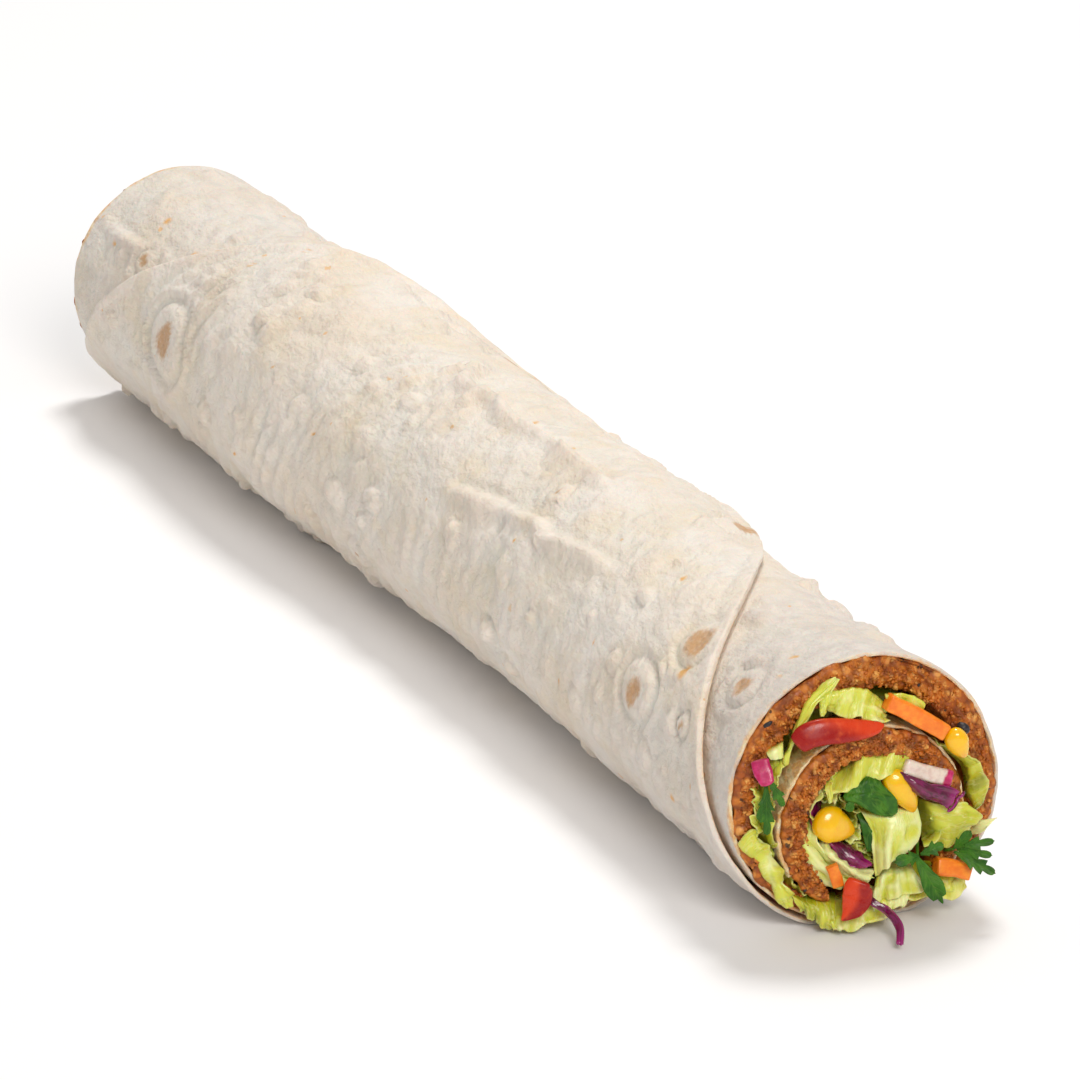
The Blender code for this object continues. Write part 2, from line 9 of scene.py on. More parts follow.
import bpy
import numpy as np
from bpy.props import FloatProperty, FloatVectorProperty, IntProperty, PointerProperty
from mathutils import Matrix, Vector


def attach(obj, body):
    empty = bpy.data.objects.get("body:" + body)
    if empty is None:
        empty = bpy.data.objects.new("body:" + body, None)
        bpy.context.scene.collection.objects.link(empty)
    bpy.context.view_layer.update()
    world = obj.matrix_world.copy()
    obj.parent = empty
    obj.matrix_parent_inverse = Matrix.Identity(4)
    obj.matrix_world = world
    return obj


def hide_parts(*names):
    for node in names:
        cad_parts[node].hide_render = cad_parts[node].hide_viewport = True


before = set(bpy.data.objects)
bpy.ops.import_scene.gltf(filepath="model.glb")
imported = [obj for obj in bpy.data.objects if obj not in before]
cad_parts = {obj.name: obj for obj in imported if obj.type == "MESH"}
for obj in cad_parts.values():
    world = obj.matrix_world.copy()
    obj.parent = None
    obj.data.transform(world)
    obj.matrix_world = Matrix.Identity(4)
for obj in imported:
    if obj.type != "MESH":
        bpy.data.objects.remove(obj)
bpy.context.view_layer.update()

bl_info = {
    "name": "Falafel wrap",
    "version": (1, 0, 0),
    "blender": (4, 5, 0),
    "location": "3D View > Sidebar > Wrap",
    "description": "Builds the bread, falafel and salad of a rolled wrap",
    "category": "Add Mesh",
}

MM = 0.001

# The roll, as its solids have it
HALF_LENGTH = 187.4
RADIUS = 30.0
FLAT = 2.0
CUT_TILT = 0.0709
LAP = 1.6
TIP_TURN = 29.0
LAST_TURN = 929.0
DISC_RADIUS = 230.0
DISC_SKEW = 18.0
FLAP_MEETS_CUT = 214.0
SKEW_GROWS_OVER = 142.0
INNER_Y = 0.9
INNER_Z = 21.9
INNER_RADIUS = 20.2
PUSHED_OUT = 2.6
GAP = 0.3
BREAD = 1.2
PASTE_FIRST = 314.0
PASTE_LAST = 959.0
PASTE_TURNS = (314, 344, 359, 404, 480, 530, 560, 585, 660, 690, 735, 900, 940, 959)
PASTE_DEPTHS = (0.7, 4.0, 5.0, 5.6, 6.0, 4.2, 3.3, 2.3, 2.2, 3.2, 4.6, 4.6, 4.2, 1.2)
SALAD_END = 181.5
HEART_RADIUS = 13.2
HEART_DROP = 2.3
FOLD_FIRST = 404.0
FOLD_LAST = 569.0

# The line of sight at the cut: y lost and z gained for each mm along x, and the way to the eye
SIGHT_SIDE = 0.458
SIGHT_RISE = 0.4085
FORWARD = np.array([0.8522, -0.3905, 0.3481])
BACKWARD = (-1.0, 0.0, 0.0)

# The camera
FOCAL_LENGTH = 266.67
SENSOR = 36.0
AZIMUTH = 65.386
ELEVATION = 20.371
DISTANCE = 1818.878
AIM = (14.087, 6.281, 25.0)

# Floor and lights, in metres
FLOOR_HALF = 4.0
FLOOR_DROP = 0.0002
KEY_PLACE, KEY_AIM, KEY_SIZE = (-0.55, 0.4, 1.6), (0, 0, 0.03), 0.45
KEY_COLOUR = (1.0, 0.985, 0.96)
FILL_PLACE, FILL_AIM, FILL_SIZE = (1.6, -0.25, 1.15), (0.15, 0, 0.03), 0.8
FILL_COLOUR = (1.0, 0.95, 0.90)
SKY_COLOUR = (1.0, 0.99, 0.98)

# Kinds of shader socket
FLOAT = "NodeSocketFloat"
VECTOR = "NodeSocketVector"


# Numbers and curves

def smooth(low, high, x):
    """Soft step from 0 at low to 1 at high: 3t^2 - 2t^3."""
    t = np.clip((np.asarray(x, float) - low) / (high - low), 0.0, 1.0)
    return t * t * (3.0 - 2.0 * t)


def bell(x, centre, width):
    """Bell of height 1: e to the minus square of the distance in widths."""
    return np.exp(-((np.asarray(x, float) - centre) / width) ** 2)


def lattice_noise(points, size, seed):
    """Soft random heights from -1 to 1: random values at the corners of cubes, joined by soft steps."""
    table = np.random.default_rng(seed).uniform(-1.0, 1.0, (24, 24, 24))
    spot = np.asarray(points, float) / size
    cell = np.floor(spot).astype(int)
    share = smooth(0.0, 1.0, spot - cell)
    total = 0.0
    for corner in np.ndindex(2, 2, 2):
        weight = np.prod(np.where(corner, share, 1.0 - share), axis=-1)
        i, j, k = np.moveaxis((cell + corner) % 24, -1, 0)
        total = total + weight * table[i, j, k]
    return total


def grain_cells(points, size, seed):
    """Rounded grains: one random middle in each cube, and the distance to the nearest in cubes."""
    middles = np.random.default_rng(seed).uniform(0.1, 0.9, (16, 16, 16, 3))
    spot = np.asarray(points, float) / size
    cell = np.floor(spot).astype(int)
    nearest = np.full(spot.shape[:-1], 9.0)
    for step in np.ndindex(3, 3, 3):
        here = cell + np.array(step) - 1
        i, j, k = np.moveaxis(here % 16, -1, 0)
        nearest = np.minimum(nearest, np.linalg.norm(here + middles[i, j, k] - spot, axis=-1))
    return nearest


def spline_weights(controls, samples):
    """Weights that carry control points to samples on a smooth curve through them all.

    Each span is a cubic whose slope at a control point is half the way between its neighbours."""
    weights = np.zeros((samples, controls))
    t = np.linspace(0.0, controls - 1.0, samples)
    span = np.minimum(t.astype(int), controls - 2)
    s = t - span
    cubic = np.stack([-s + 2 * s ** 2 - s ** 3, 2 - 5 * s ** 2 + 3 * s ** 3,
                      s + 4 * s ** 2 - 3 * s ** 3, s ** 3 - s ** 2], axis=1) / 2
    for k in range(4):
        np.add.at(weights, (np.arange(samples), np.clip(span + k - 1, 0, controls - 1)), cubic[:, k])
    return weights


def net_surface(net, rows, columns):
    """A smooth surface through a net of control points (rows, columns, 3), on a finer grid."""
    net = np.array(net, float)
    return np.einsum("ar,rcd,bc->abd", spline_weights(net.shape[0], rows), net,
                     spline_weights(net.shape[1], columns))


def curve(corners, samples):
    """A smooth line through the corners."""
    corners = np.array(corners, float)
    return spline_weights(len(corners), samples) @ corners


# The form of the roll

def swell(x):
    """Size of the section along the roll: full at a third of its length, flared at the cut."""
    return (0.972 + 0.088 * bell(x, -90, 32) + 0.028 * bell(x, 70, 16) + 0.025 * smooth(-135, -165, x)
            + 0.030 * smooth(140, 170, x) + 0.048 * smooth(165, 187, x))


def bow(x):
    """Sideways bend of the roll towards +Y."""
    x = np.asarray(x, float)
    return 3.7 * np.where(x > 60, bell(x, 60, 95), bell(x, 60, 135))


def place(x, y, z):
    """A point of the straight, even roll carried into the real one: leant, scaled and bent."""
    size = swell(x)
    lean = CUT_TILT * y * smooth(100, HALF_LENGTH, x)
    return np.stack(np.broadcast_arrays(x + lean, bow(x) + size * y, size * z), axis=-1)


def turn_centre(turn):
    """Centre, radius and floor of the bread's outer face at a turn angle."""
    under = smooth(330, 385, turn)
    inner = smooth(636, 728, turn)
    rise = INNER_Z - RADIUS + FLAT
    radius = RADIUS - LAP * under + (INNER_RADIUS - RADIUS + LAP) * inner
    return INNER_Y * inner, RADIUS - FLAT + rise * inner, radius, LAP * under


def layer(turn, depth):
    """The point at a depth below the bread's outer face: a circle with a flat underside."""
    y, z, radius, floor = turn_centre(turn)
    angle = np.radians(turn)
    side = y + (radius - depth) * np.cos(angle)
    return side, np.maximum(z + (radius - depth) * np.sin(angle), np.maximum(floor + depth, 0.0))


def reach(turn):
    """Ends of the bread along the roll: the round edge of the disc, then the roll's own ends."""
    run = np.radians(np.maximum(turn - TIP_TURN, 0.0)) * RADIUS
    half = np.sqrt(np.maximum(DISC_RADIUS ** 2 - np.maximum(DISC_RADIUS - run, 0.0) ** 2, 0.0))
    skew = DISC_SKEW * np.clip((FLAP_MEETS_CUT - turn) / SKEW_GROWS_OVER, 0.0, 1.0)
    push = PUSHED_OUT * smooth(600, 735, turn)
    low = np.maximum(skew - half, -HALF_LENGTH)
    high = np.minimum(skew + half, HALF_LENGTH)
    return low + push, high + push


def paste_depth(turn):
    """Thickness of the falafel paste."""
    return np.interp(turn, PASTE_TURNS, PASTE_DEPTHS)


def at_end(spots, end=1):
    """Places (y, z, out) at an end of the roll, as points.

    At the near end y and z are read where they show in the cut's plane, so what stands out by
    out is drawn back along the line of sight. At the far end they are true places."""
    spots = np.array(spots, float)
    y, z, out = np.moveaxis(spots, -1, 0)
    if end < 0:
        return np.stack([-HALF_LENGTH - out, y, z], axis=-1)
    y_true = y - SIGHT_SIDE * out
    return np.stack([HALF_LENGTH + CUT_TILT * y_true + out, y_true, z + SIGHT_RISE * out], axis=-1)


# Meshes

def ring_faces(rows, columns):
    """Four-cornered faces of a grid of points whose last column is joined to its first."""
    index = np.arange(rows * columns).reshape(rows, columns)
    following = np.roll(index, -1, axis=1)
    return np.stack([index[:-1], following[:-1], following[1:], index[1:]], axis=-1).reshape(-1, 4)


def volume(points, faces):
    """Signed volume inside closed faces: a sum of corner products, each face cut into a fan."""
    total = 0.0
    for group in faces:
        for k in range(1, group.shape[1] - 1):
            a, b, c = points[group[:, 0]], points[group[:, k]], points[group[:, k + 1]]
            total += float(np.einsum("ij,ij->", a, np.cross(b, c)))
    return total


def closed_grid(points, masks=None):
    """A grid of points (rows, ring, 3) as a closed shape: its columns form a ring, its ends are filled."""
    rows, columns = points.shape[:2]
    faces = [ring_faces(rows, columns), np.arange(columns)[None, ::-1],
             (rows - 1) * columns + np.arange(columns)[None]]
    points = points.reshape(-1, 3)
    if volume(points, faces) < 0.0:
        faces = [group[:, ::-1] for group in faces]
    count = len(points)
    carried = {name: np.asarray(mask, float).reshape(count, -1) for name, mask in (masks or {}).items()}
    return {"points": points, "faces": faces, "masks": carried}


def thin_solid(middle, thickness, masks):
    """A leaf or slice as a closed shape: both faces half the thickness off its middle surface.

    The ring of each row runs over the top face and back along the bottom face, so its two
    sides are closed, and the first and last rows are drawn in to a line."""
    normal = np.cross(np.gradient(middle, axis=0), np.gradient(middle, axis=1))
    normal /= np.maximum(np.linalg.norm(normal, axis=-1, keepdims=True), 1e-9)
    rows, columns = middle.shape[:2]
    edge = np.minimum(np.arange(columns), np.arange(columns)[::-1])
    end = np.minimum(np.arange(rows), np.arange(rows)[::-1])
    half = 0.5 * thickness * np.where(edge == 0, 0.45, 1.0)[None] * np.where(end == 0, 0.3, 1.0)[:, None]
    top, bottom = middle + normal * half[..., None], middle - normal * half[..., None]
    points = np.concatenate([top, bottom[:, ::-1]], axis=1)
    full = {name: np.concatenate([mask, mask[:, ::-1]], axis=1) for name, mask in masks.items()}
    return closed_grid(points, full)


def joined(shapes):
    """Several shapes as one."""
    start = np.cumsum([0] + [len(shape["points"]) for shape in shapes])
    faces = [group + first for shape, first in zip(shapes, start) for group in shape["faces"]]
    names = shapes[0]["masks"]
    return {"points": np.concatenate([shape["points"] for shape in shapes]), "faces": faces,
            "masks": {name: np.concatenate([shape["masks"][name] for shape in shapes]) for name in names}}


def add_piece(name, shape, finish, nodes):
    """A mesh object for a shape: it rides on the roll and stands for the named solids."""
    mesh = bpy.data.meshes.new(name)
    points = shape["points"] * MM
    mesh.vertices.add(len(points))
    mesh.vertices.foreach_set("co", points.astype(np.float32).ravel())
    sizes = np.concatenate([np.full(len(group), group.shape[1]) for group in shape["faces"]])
    corners = np.concatenate([group.ravel() for group in shape["faces"]])
    mesh.loops.add(len(corners))
    mesh.loops.foreach_set("vertex_index", corners.astype(np.int32))
    mesh.polygons.add(len(sizes))
    mesh.polygons.foreach_set("loop_start", np.concatenate([[0], np.cumsum(sizes)[:-1]]).astype(np.int32))
    mesh.update(calc_edges=True)
    for mask_name, values in shape["masks"].items():
        kind = "FLOAT" if values.shape[1] == 1 else "FLOAT_VECTOR"
        attribute = mesh.attributes.new(mask_name, kind, "POINT")
        attribute.data.foreach_set("value" if kind == "FLOAT" else "vector",
                                   values.astype(np.float32).ravel())
    if mesh.validate():
        raise RuntimeError(f"{name} has faulty faces")
    mesh.shade_smooth()
    mesh.materials.append(finish)
    piece = bpy.data.objects.new(name, mesh)
    bpy.context.scene.collection.objects.link(piece)
    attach(piece, "root")
    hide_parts(*nodes)
    return piece


# Shader nodes

def fill(tree, made, sockets):
    """Links each socket of a node that is given an output, and sets the others."""
    for key, value in sockets.items():
        if isinstance(value, bpy.types.NodeSocket):
            tree.links.new(value, made.inputs[key])
        else:
            made.inputs[key].default_value = value
    return made


def node(tree, kind, sockets=None, **settings):
    """Adds a node with its settings and sockets."""
    made = tree.nodes.new(kind)
    for key, value in settings.items():
        setattr(made, key, value)
    return fill(tree, made, sockets or {})


def noise(tree, vector, size, detail=2.0, roughness=0.55):
    """Noise from 0 to 1 with bumps of a size in millimetres."""
    return node(tree, "ShaderNodeTexNoise", {"Vector": vector, "Scale": 1.0 / (size * MM), "Detail": detail,
                                             "Roughness": roughness}).outputs["Fac"]


def calc(tree, kind, a, b=0.0, c=0.0):
    """One sum on two or three numbers."""
    return node(tree, "ShaderNodeMath", {0: a, 1: b, 2: c}, operation=kind).outputs[0]


def vector_calc(tree, kind, a, b):
    """One sum on two vectors."""
    return node(tree, "ShaderNodeVectorMath", {0: a, 1: b}, operation=kind).outputs[0]


def steps(tree, value, low, high, to_low=0.0, to_high=1.0):
    """Soft step of a value between two limits."""
    return node(tree, "ShaderNodeMapRange", {"Value": value, "From Min": low, "From Max": high,
                                             "To Min": to_low, "To Max": to_high},
                interpolation_type="SMOOTHSTEP").outputs["Result"]


def mix(tree, share, first, second, amount=1.0):
    """Two colours mixed by a share, which amount scales down."""
    if amount < 1.0:
        share = calc(tree, "MULTIPLY", share, amount)
    first, second = (value if isinstance(value, bpy.types.NodeSocket) else (*value, 1.0)
                     for value in (first, second))
    return node(tree, "ShaderNodeMix", {0: share, 6: first, 7: second}, data_type="RGBA").outputs[2]


def attribute(tree, name, output="Fac"):
    """A mask that the mesh carries."""
    return node(tree, "ShaderNodeAttribute", attribute_name=name).outputs[output]


def object_place(tree):
    """Place on the object, in metres."""
    return node(tree, "ShaderNodeTexCoord").outputs["Object"]


def new_group(name, inputs, outputs):
    """An empty shader node group with named inputs (name, kind, default) and outputs (name, kind)."""
    group = bpy.data.node_groups.new(name, "ShaderNodeTree")
    for label, kind, default in inputs:
        socket = group.interface.new_socket(label, in_out="INPUT", socket_type=kind)
        if default is not None:
            socket.default_value = default
    for label, kind in outputs:
        group.interface.new_socket(label, in_out="OUTPUT", socket_type=kind)
    return group, group.nodes.new("NodeGroupInput"), group.nodes.new("NodeGroupOutput")


def specks_group():
    """Sparse irregular dots: the cores of random cells, each with its own size, at wobbled places."""
    group, given, made = new_group("Specks", [("Vector", VECTOR, None), ("Spacing", FLOAT, 300.0),
                                              ("Size", FLOAT, 0.2)], [("Mask", FLOAT)])
    wobble = node(group, "ShaderNodeTexNoise", {"Vector": given.outputs["Vector"], "Scale": 900.0,
                                                "Detail": 1.0})
    shifted = vector_calc(group, "MULTIPLY", wobble.outputs["Color"], (0.0012, 0.0012, 0.0012))
    spot = vector_calc(group, "ADD", given.outputs["Vector"], shifted)
    cells = node(group, "ShaderNodeTexVoronoi", {"Vector": spot, "Scale": given.outputs["Spacing"]})
    share = node(group, "ShaderNodeSeparateColor", {"Color": cells.outputs["Color"]}).outputs[0]
    size = calc(group, "MULTIPLY", share, given.outputs["Size"])
    inside = calc(group, "SUBTRACT", size, cells.outputs["Distance"])
    fill(group, made, {"Mask": steps(group, inside, 0.0, 0.03)})
    return group


def veins_group():
    """Fine veins along a leaf: the level lines of a noise that is stretched from root to edge.

    The leaf's space is in millimetres, x across and y from the root to the edge."""
    group, given, made = new_group("Leaf veins", [("Vector", VECTOR, None), ("Width", FLOAT, 0.05)],
                                   [("Mask", FLOAT), ("Height", FLOAT)])
    spot = vector_calc(group, "MULTIPLY", given.outputs["Vector"], (0.42, 0.1, 1.0))
    level = node(group, "ShaderNodeTexNoise", {"Vector": spot, "Scale": 1.0, "Detail": 3.0,
                                               "Roughness": 0.6})
    away = calc(group, "ABSOLUTE", calc(group, "SUBTRACT", level.outputs["Fac"], 0.5))
    mask = steps(group, away, 0.0, given.outputs["Width"], 1.0, 0.0)
    fill(group, made, {"Mask": mask, "Height": calc(group, "MULTIPLY", mask, -1.0)})
    return group


def grain_group():
    """Packed grains: rounded cells of two sizes, with a tone for each grain and dark clefts between."""
    group, given, made = new_group("Packed grains", [("Vector", VECTOR, None), ("Scale", FLOAT, 650.0)],
                                   [("Height", FLOAT), ("Tone", FLOAT), ("Cleft_shade", FLOAT)])
    spot, scale = given.outputs["Vector"], given.outputs["Scale"]
    large = node(group, "ShaderNodeTexVoronoi", {"Vector": spot, "Scale": scale, "Smoothness": 0.35},
                 feature="SMOOTH_F1")
    fine = node(group, "ShaderNodeTexVoronoi", {"Vector": spot,
                                                "Scale": calc(group, "MULTIPLY", scale, 2.3)})
    height = calc(group, "MULTIPLY_ADD", large.outputs["Distance"], -1.0,
                  calc(group, "MULTIPLY", fine.outputs["Distance"], -0.35))
    tone = node(group, "ShaderNodeSeparateColor", {"Color": large.outputs["Color"]}).outputs[1]
    # Painted shade: a mask that is high in the clefts between grains.
    cleft_shade = steps(group, large.outputs["Distance"], 0.35, 0.85)
    fill(group, made, {"Height": height, "Tone": tone, "Cleft_shade": cleft_shade})
    return group


def placed(tree, group, **sockets):
    """A shared group in a material, with its own values."""
    made = tree.nodes.new("ShaderNodeGroup")
    made.node_tree = group
    return fill(tree, made, sockets).outputs


def finish_of(name, build, **constants):
    """A material: constants go on the shader's sockets, and build links what varies."""
    material = bpy.data.materials.new(name)
    material.use_nodes = True
    tree = material.node_tree
    shader = tree.nodes["Principled BSDF"]
    for key, value in constants.items():
        shader.inputs[key].default_value = value
    build(tree, shader)
    return material


def connect(tree, shader, colour=None, roughness=None, height=None, strength=0.5, distance=0.3):
    """Links colour, roughness and a bump height to the shader."""
    if colour is not None:
        tree.links.new(colour, shader.inputs["Base Color"])
    if roughness is not None:
        tree.links.new(roughness, shader.inputs["Roughness"])
    if height is not None:
        bump = node(tree, "ShaderNodeBump", {"Height": height, "Strength": strength,
                                             "Distance": distance * MM})
        tree.links.new(bump.outputs["Normal"], shader.inputs["Normal"])


# The bread

# Lumps from the filling: size, height, number of the noise
LUMPS = ((30, 0.6, 1), (13, 0.5, 2), (5.5, 0.5, 3), (2.8, 0.28, 4))
# Slanting wrinkles: distance and height, and the turns from which they fade and where they end
WRINKLE_PITCH = 6.5
WRINKLE_HEIGHT = 1.15
WRINKLES_FADE = 220
WRINKLES_END = 262
BUBBLES = 760
BUBBLE_HEIGHT = 1.25
FOLD_REACH = 14
DEEPEST = 0.65
# Ring blisters: place along the roll, turn angle, ring radius, toasted radius
BLISTERS = (
    (-125.5, 168, 10.5, 5.5),
    (133.7, 162, 7.6, 4.0),
    (146.7, 130, 6.5, 4.6),
    (160.5, 161, 3.2, 1.2),
    (172.0, 493.5, 6.0, 3.0),
    (-154.0, 503.0, 4.5, 2.0),
    (60.0, 118, 4.2, 0.8),
    (-20.0, 205, 5.0, 1.0),
    (-60.0, 330, 9.0, 5.0),
    (40.0, 380, 8.0, 4.5),
    (95.0, 60, 7.0, 4.0),
    (-30.0, 48, 9.0, 4.8),
    (100.0, 300, 8.5, 4.2),
    (-140.0, 250, 8.0, 4.6),
)
# Small orange specks: place along the roll, turn angle, size
SPECKS = (
    (-109, 116.5, 1.3), (-127, 118, 0.9), (-42.5, 160.5, 0.8), (69, 171, 0.9), (-67, 147, 0.8),
    (-80, 196, 0.9), (94.5, 186, 0.9), (156, 196, 1.2), (169, 183, 1.2), (-138, 486, 1.6),
    (-160, 480, 1.3), (150, 143, 2.2), (-100, 96, 0.9), (20, 92, 1.0), (36, 96, 0.9), (120, 112, 1.1),
    (175, 470, 1.2), (180, 482, 0.9), (-30, 120, 0.8), (-172, 505, 1.0), (60, 146, 0.7),
    (108, 158, 0.8), (-20, 40, 1.2), (90, 330, 1.2), (-100, 300, 1.1),
)
# Folds pressed into the outer turn: corners of each line (place along the roll, turn angle), depth
FOLDS = (
    (((-24, 68), (-10, 94), (4, 95), (20, 97), (40, 96), (60, 98), (76, 102)), 1.8),
    (((20, 141), (34, 138), (58, 133), (82, 129), (107, 124)), 1.1),
    (((-187, 495), (-168, 496), (-150, 493), (-141, 490)), 0.9),
    (((-60, 290), (-10, 300), (50, 296)), 0.5),
    (((-120, 60), (-70, 72), (-40, 66)), 0.5),
)


def near_line(corners, x, run):
    """Signed distance from points of the sheet to a smooth line through corners (x, turn)."""
    corners = np.array(corners, float)
    line = curve(np.stack([corners[:, 0], run_of(corners[:, 1])], axis=1), 40)
    nearest = np.full(x.shape, 1e9)
    side = np.zeros(x.shape)
    for start, end in zip(line[:-1], line[1:]):
        step = end - start
        share = np.clip(((x - start[0]) * step[0] + (run - start[1]) * step[1]) / (step @ step), 0.0, 1.0)
        away_x, away_run = x - start[0] - share * step[0], run - start[1] - share * step[1]
        distance = np.hypot(away_x, away_run)
        side = np.where(distance < nearest, np.sign(step[0] * away_run - step[1] * away_x), side)
        nearest = np.minimum(nearest, distance)
    return nearest * side


def run_of(turn):
    """Distance along the sheet from its tip, in mm, at a turn angle of the outer layer."""
    return np.radians(np.asarray(turn, float) - TIP_TURN) * RADIUS


def bread_relief(x, turn):
    """Height of the bread's outer face over the plain roll, its toasted share and its small specks.

    A sum of lumps from the filling, small bubbles, slanting wrinkles, pressed folds and ring
    blisters, each a bell or a soft noise of the place on the unrolled sheet."""
    run = run_of(turn)
    sheet = np.stack([x, run, np.zeros_like(x)], axis=-1)
    height = sum(tall * lattice_noise(sheet, size, seed) for size, tall, seed in LUMPS)
    slant = x + 0.42 * run + 6.0 * lattice_noise(sheet, 34, 5) + 1.6 * lattice_noise(sheet, 9, 6)
    wrinkle = 1.0 - np.abs(2.0 * ((slant / WRINKLE_PITCH) % 1.0) - 1.0)
    where = smooth(-160, -130, x) * (0.35 + 0.65 * smooth(40, -30, x))
    where = where * smooth(-0.5, 0.6, lattice_noise(sheet, 16, 7))
    where = where * smooth(run_of(WRINKLES_END), run_of(WRINKLES_FADE), run)
    height += WRINKLE_HEIGHT * where * (smooth(0.1, 0.95, wrinkle) - 0.5)
    draw = np.random.default_rng(11)
    for _ in range(BUBBLES):
        middle_x, middle_run = draw.uniform(-185, 185), draw.uniform(2, 285)
        size, tall, long = draw.uniform(1.5, 3.8), draw.uniform(-0.3, 0.95), draw.uniform(0.7, 1.5)
        spot = (np.abs(x - middle_x) < 3 * size * long) & (np.abs(run - middle_run) < 3 * size)
        away = np.hypot((x[spot] - middle_x) / long, run[spot] - middle_run) / size
        height[spot] += BUBBLE_HEIGHT * tall * (smooth(1.2, 0.6, away) - 0.5 * bell(away, 1.25, 0.2))
    for corners, depth in FOLDS:
        ends = np.array(corners, float)
        low, high = ends.min(axis=0), ends.max(axis=0)
        spot = (x > low[0] - FOLD_REACH) & (x < high[0] + FOLD_REACH)
        spot &= (run > run_of(low[1]) - FOLD_REACH) & (run < run_of(high[1]) + FOLD_REACH)
        away = near_line(corners, x[spot], run[spot]) + 1.3 * lattice_noise(sheet[spot], 8.0, 14)
        share = (x[spot] - low[0]) / (high[0] - low[0])
        tapered = depth * smooth(-0.04, 0.22, share) * smooth(1.04, 0.7, share)
        tapered = tapered * (1.0 + 0.4 * lattice_noise(sheet[spot], 11.0, 15))
        height[spot] += tapered * (1.7 * bell(away, 2.2, 1.9) - 1.5 * bell(away, -0.6, 1.3)
                                   - 0.6 * bell(away, -5.0, 4.0))
    speck = np.zeros_like(x)
    for spot_x, spot_turn, size in SPECKS:
        away = np.hypot(x - spot_x, run - run_of(spot_turn))
        speck = np.maximum(speck, bell(away, 0.0, size))
    toast = np.zeros_like(x)
    for spot_x, spot_turn, ring, toasted in BLISTERS:
        across = run - run_of(spot_turn)
        spot = (np.abs(x - spot_x) < 1.8 * ring) & (np.abs(across) < 1.8 * ring)
        away = np.hypot((x[spot] - spot_x) * 0.94, across[spot])
        rough = away * (1.0 + 0.13 * lattice_noise(sheet[spot], ring * 0.8, 8))
        level = smooth(1.55, 1.2, away / ring)
        rise = 0.7 * smooth(1.02, 0.72, rough / ring) - 1.1 * bell(rough, ring, 0.12 * ring + 0.5)
        rise += 0.8 * bell(rough, 1.28 * ring, 0.12 * ring + 0.5) - 0.45 * bell(rough, 0.0, 0.4 * toasted)
        height[spot] = height[spot] * (1.0 - 0.85 * level) + level * rise
        ragged = away * (1.0 + 0.4 * lattice_noise(sheet[spot], toasted * 0.9, 9))
        toast[spot] = np.maximum(toast[spot], smooth(1.15, 0.55, ragged / toasted))
    return height, toast, speck


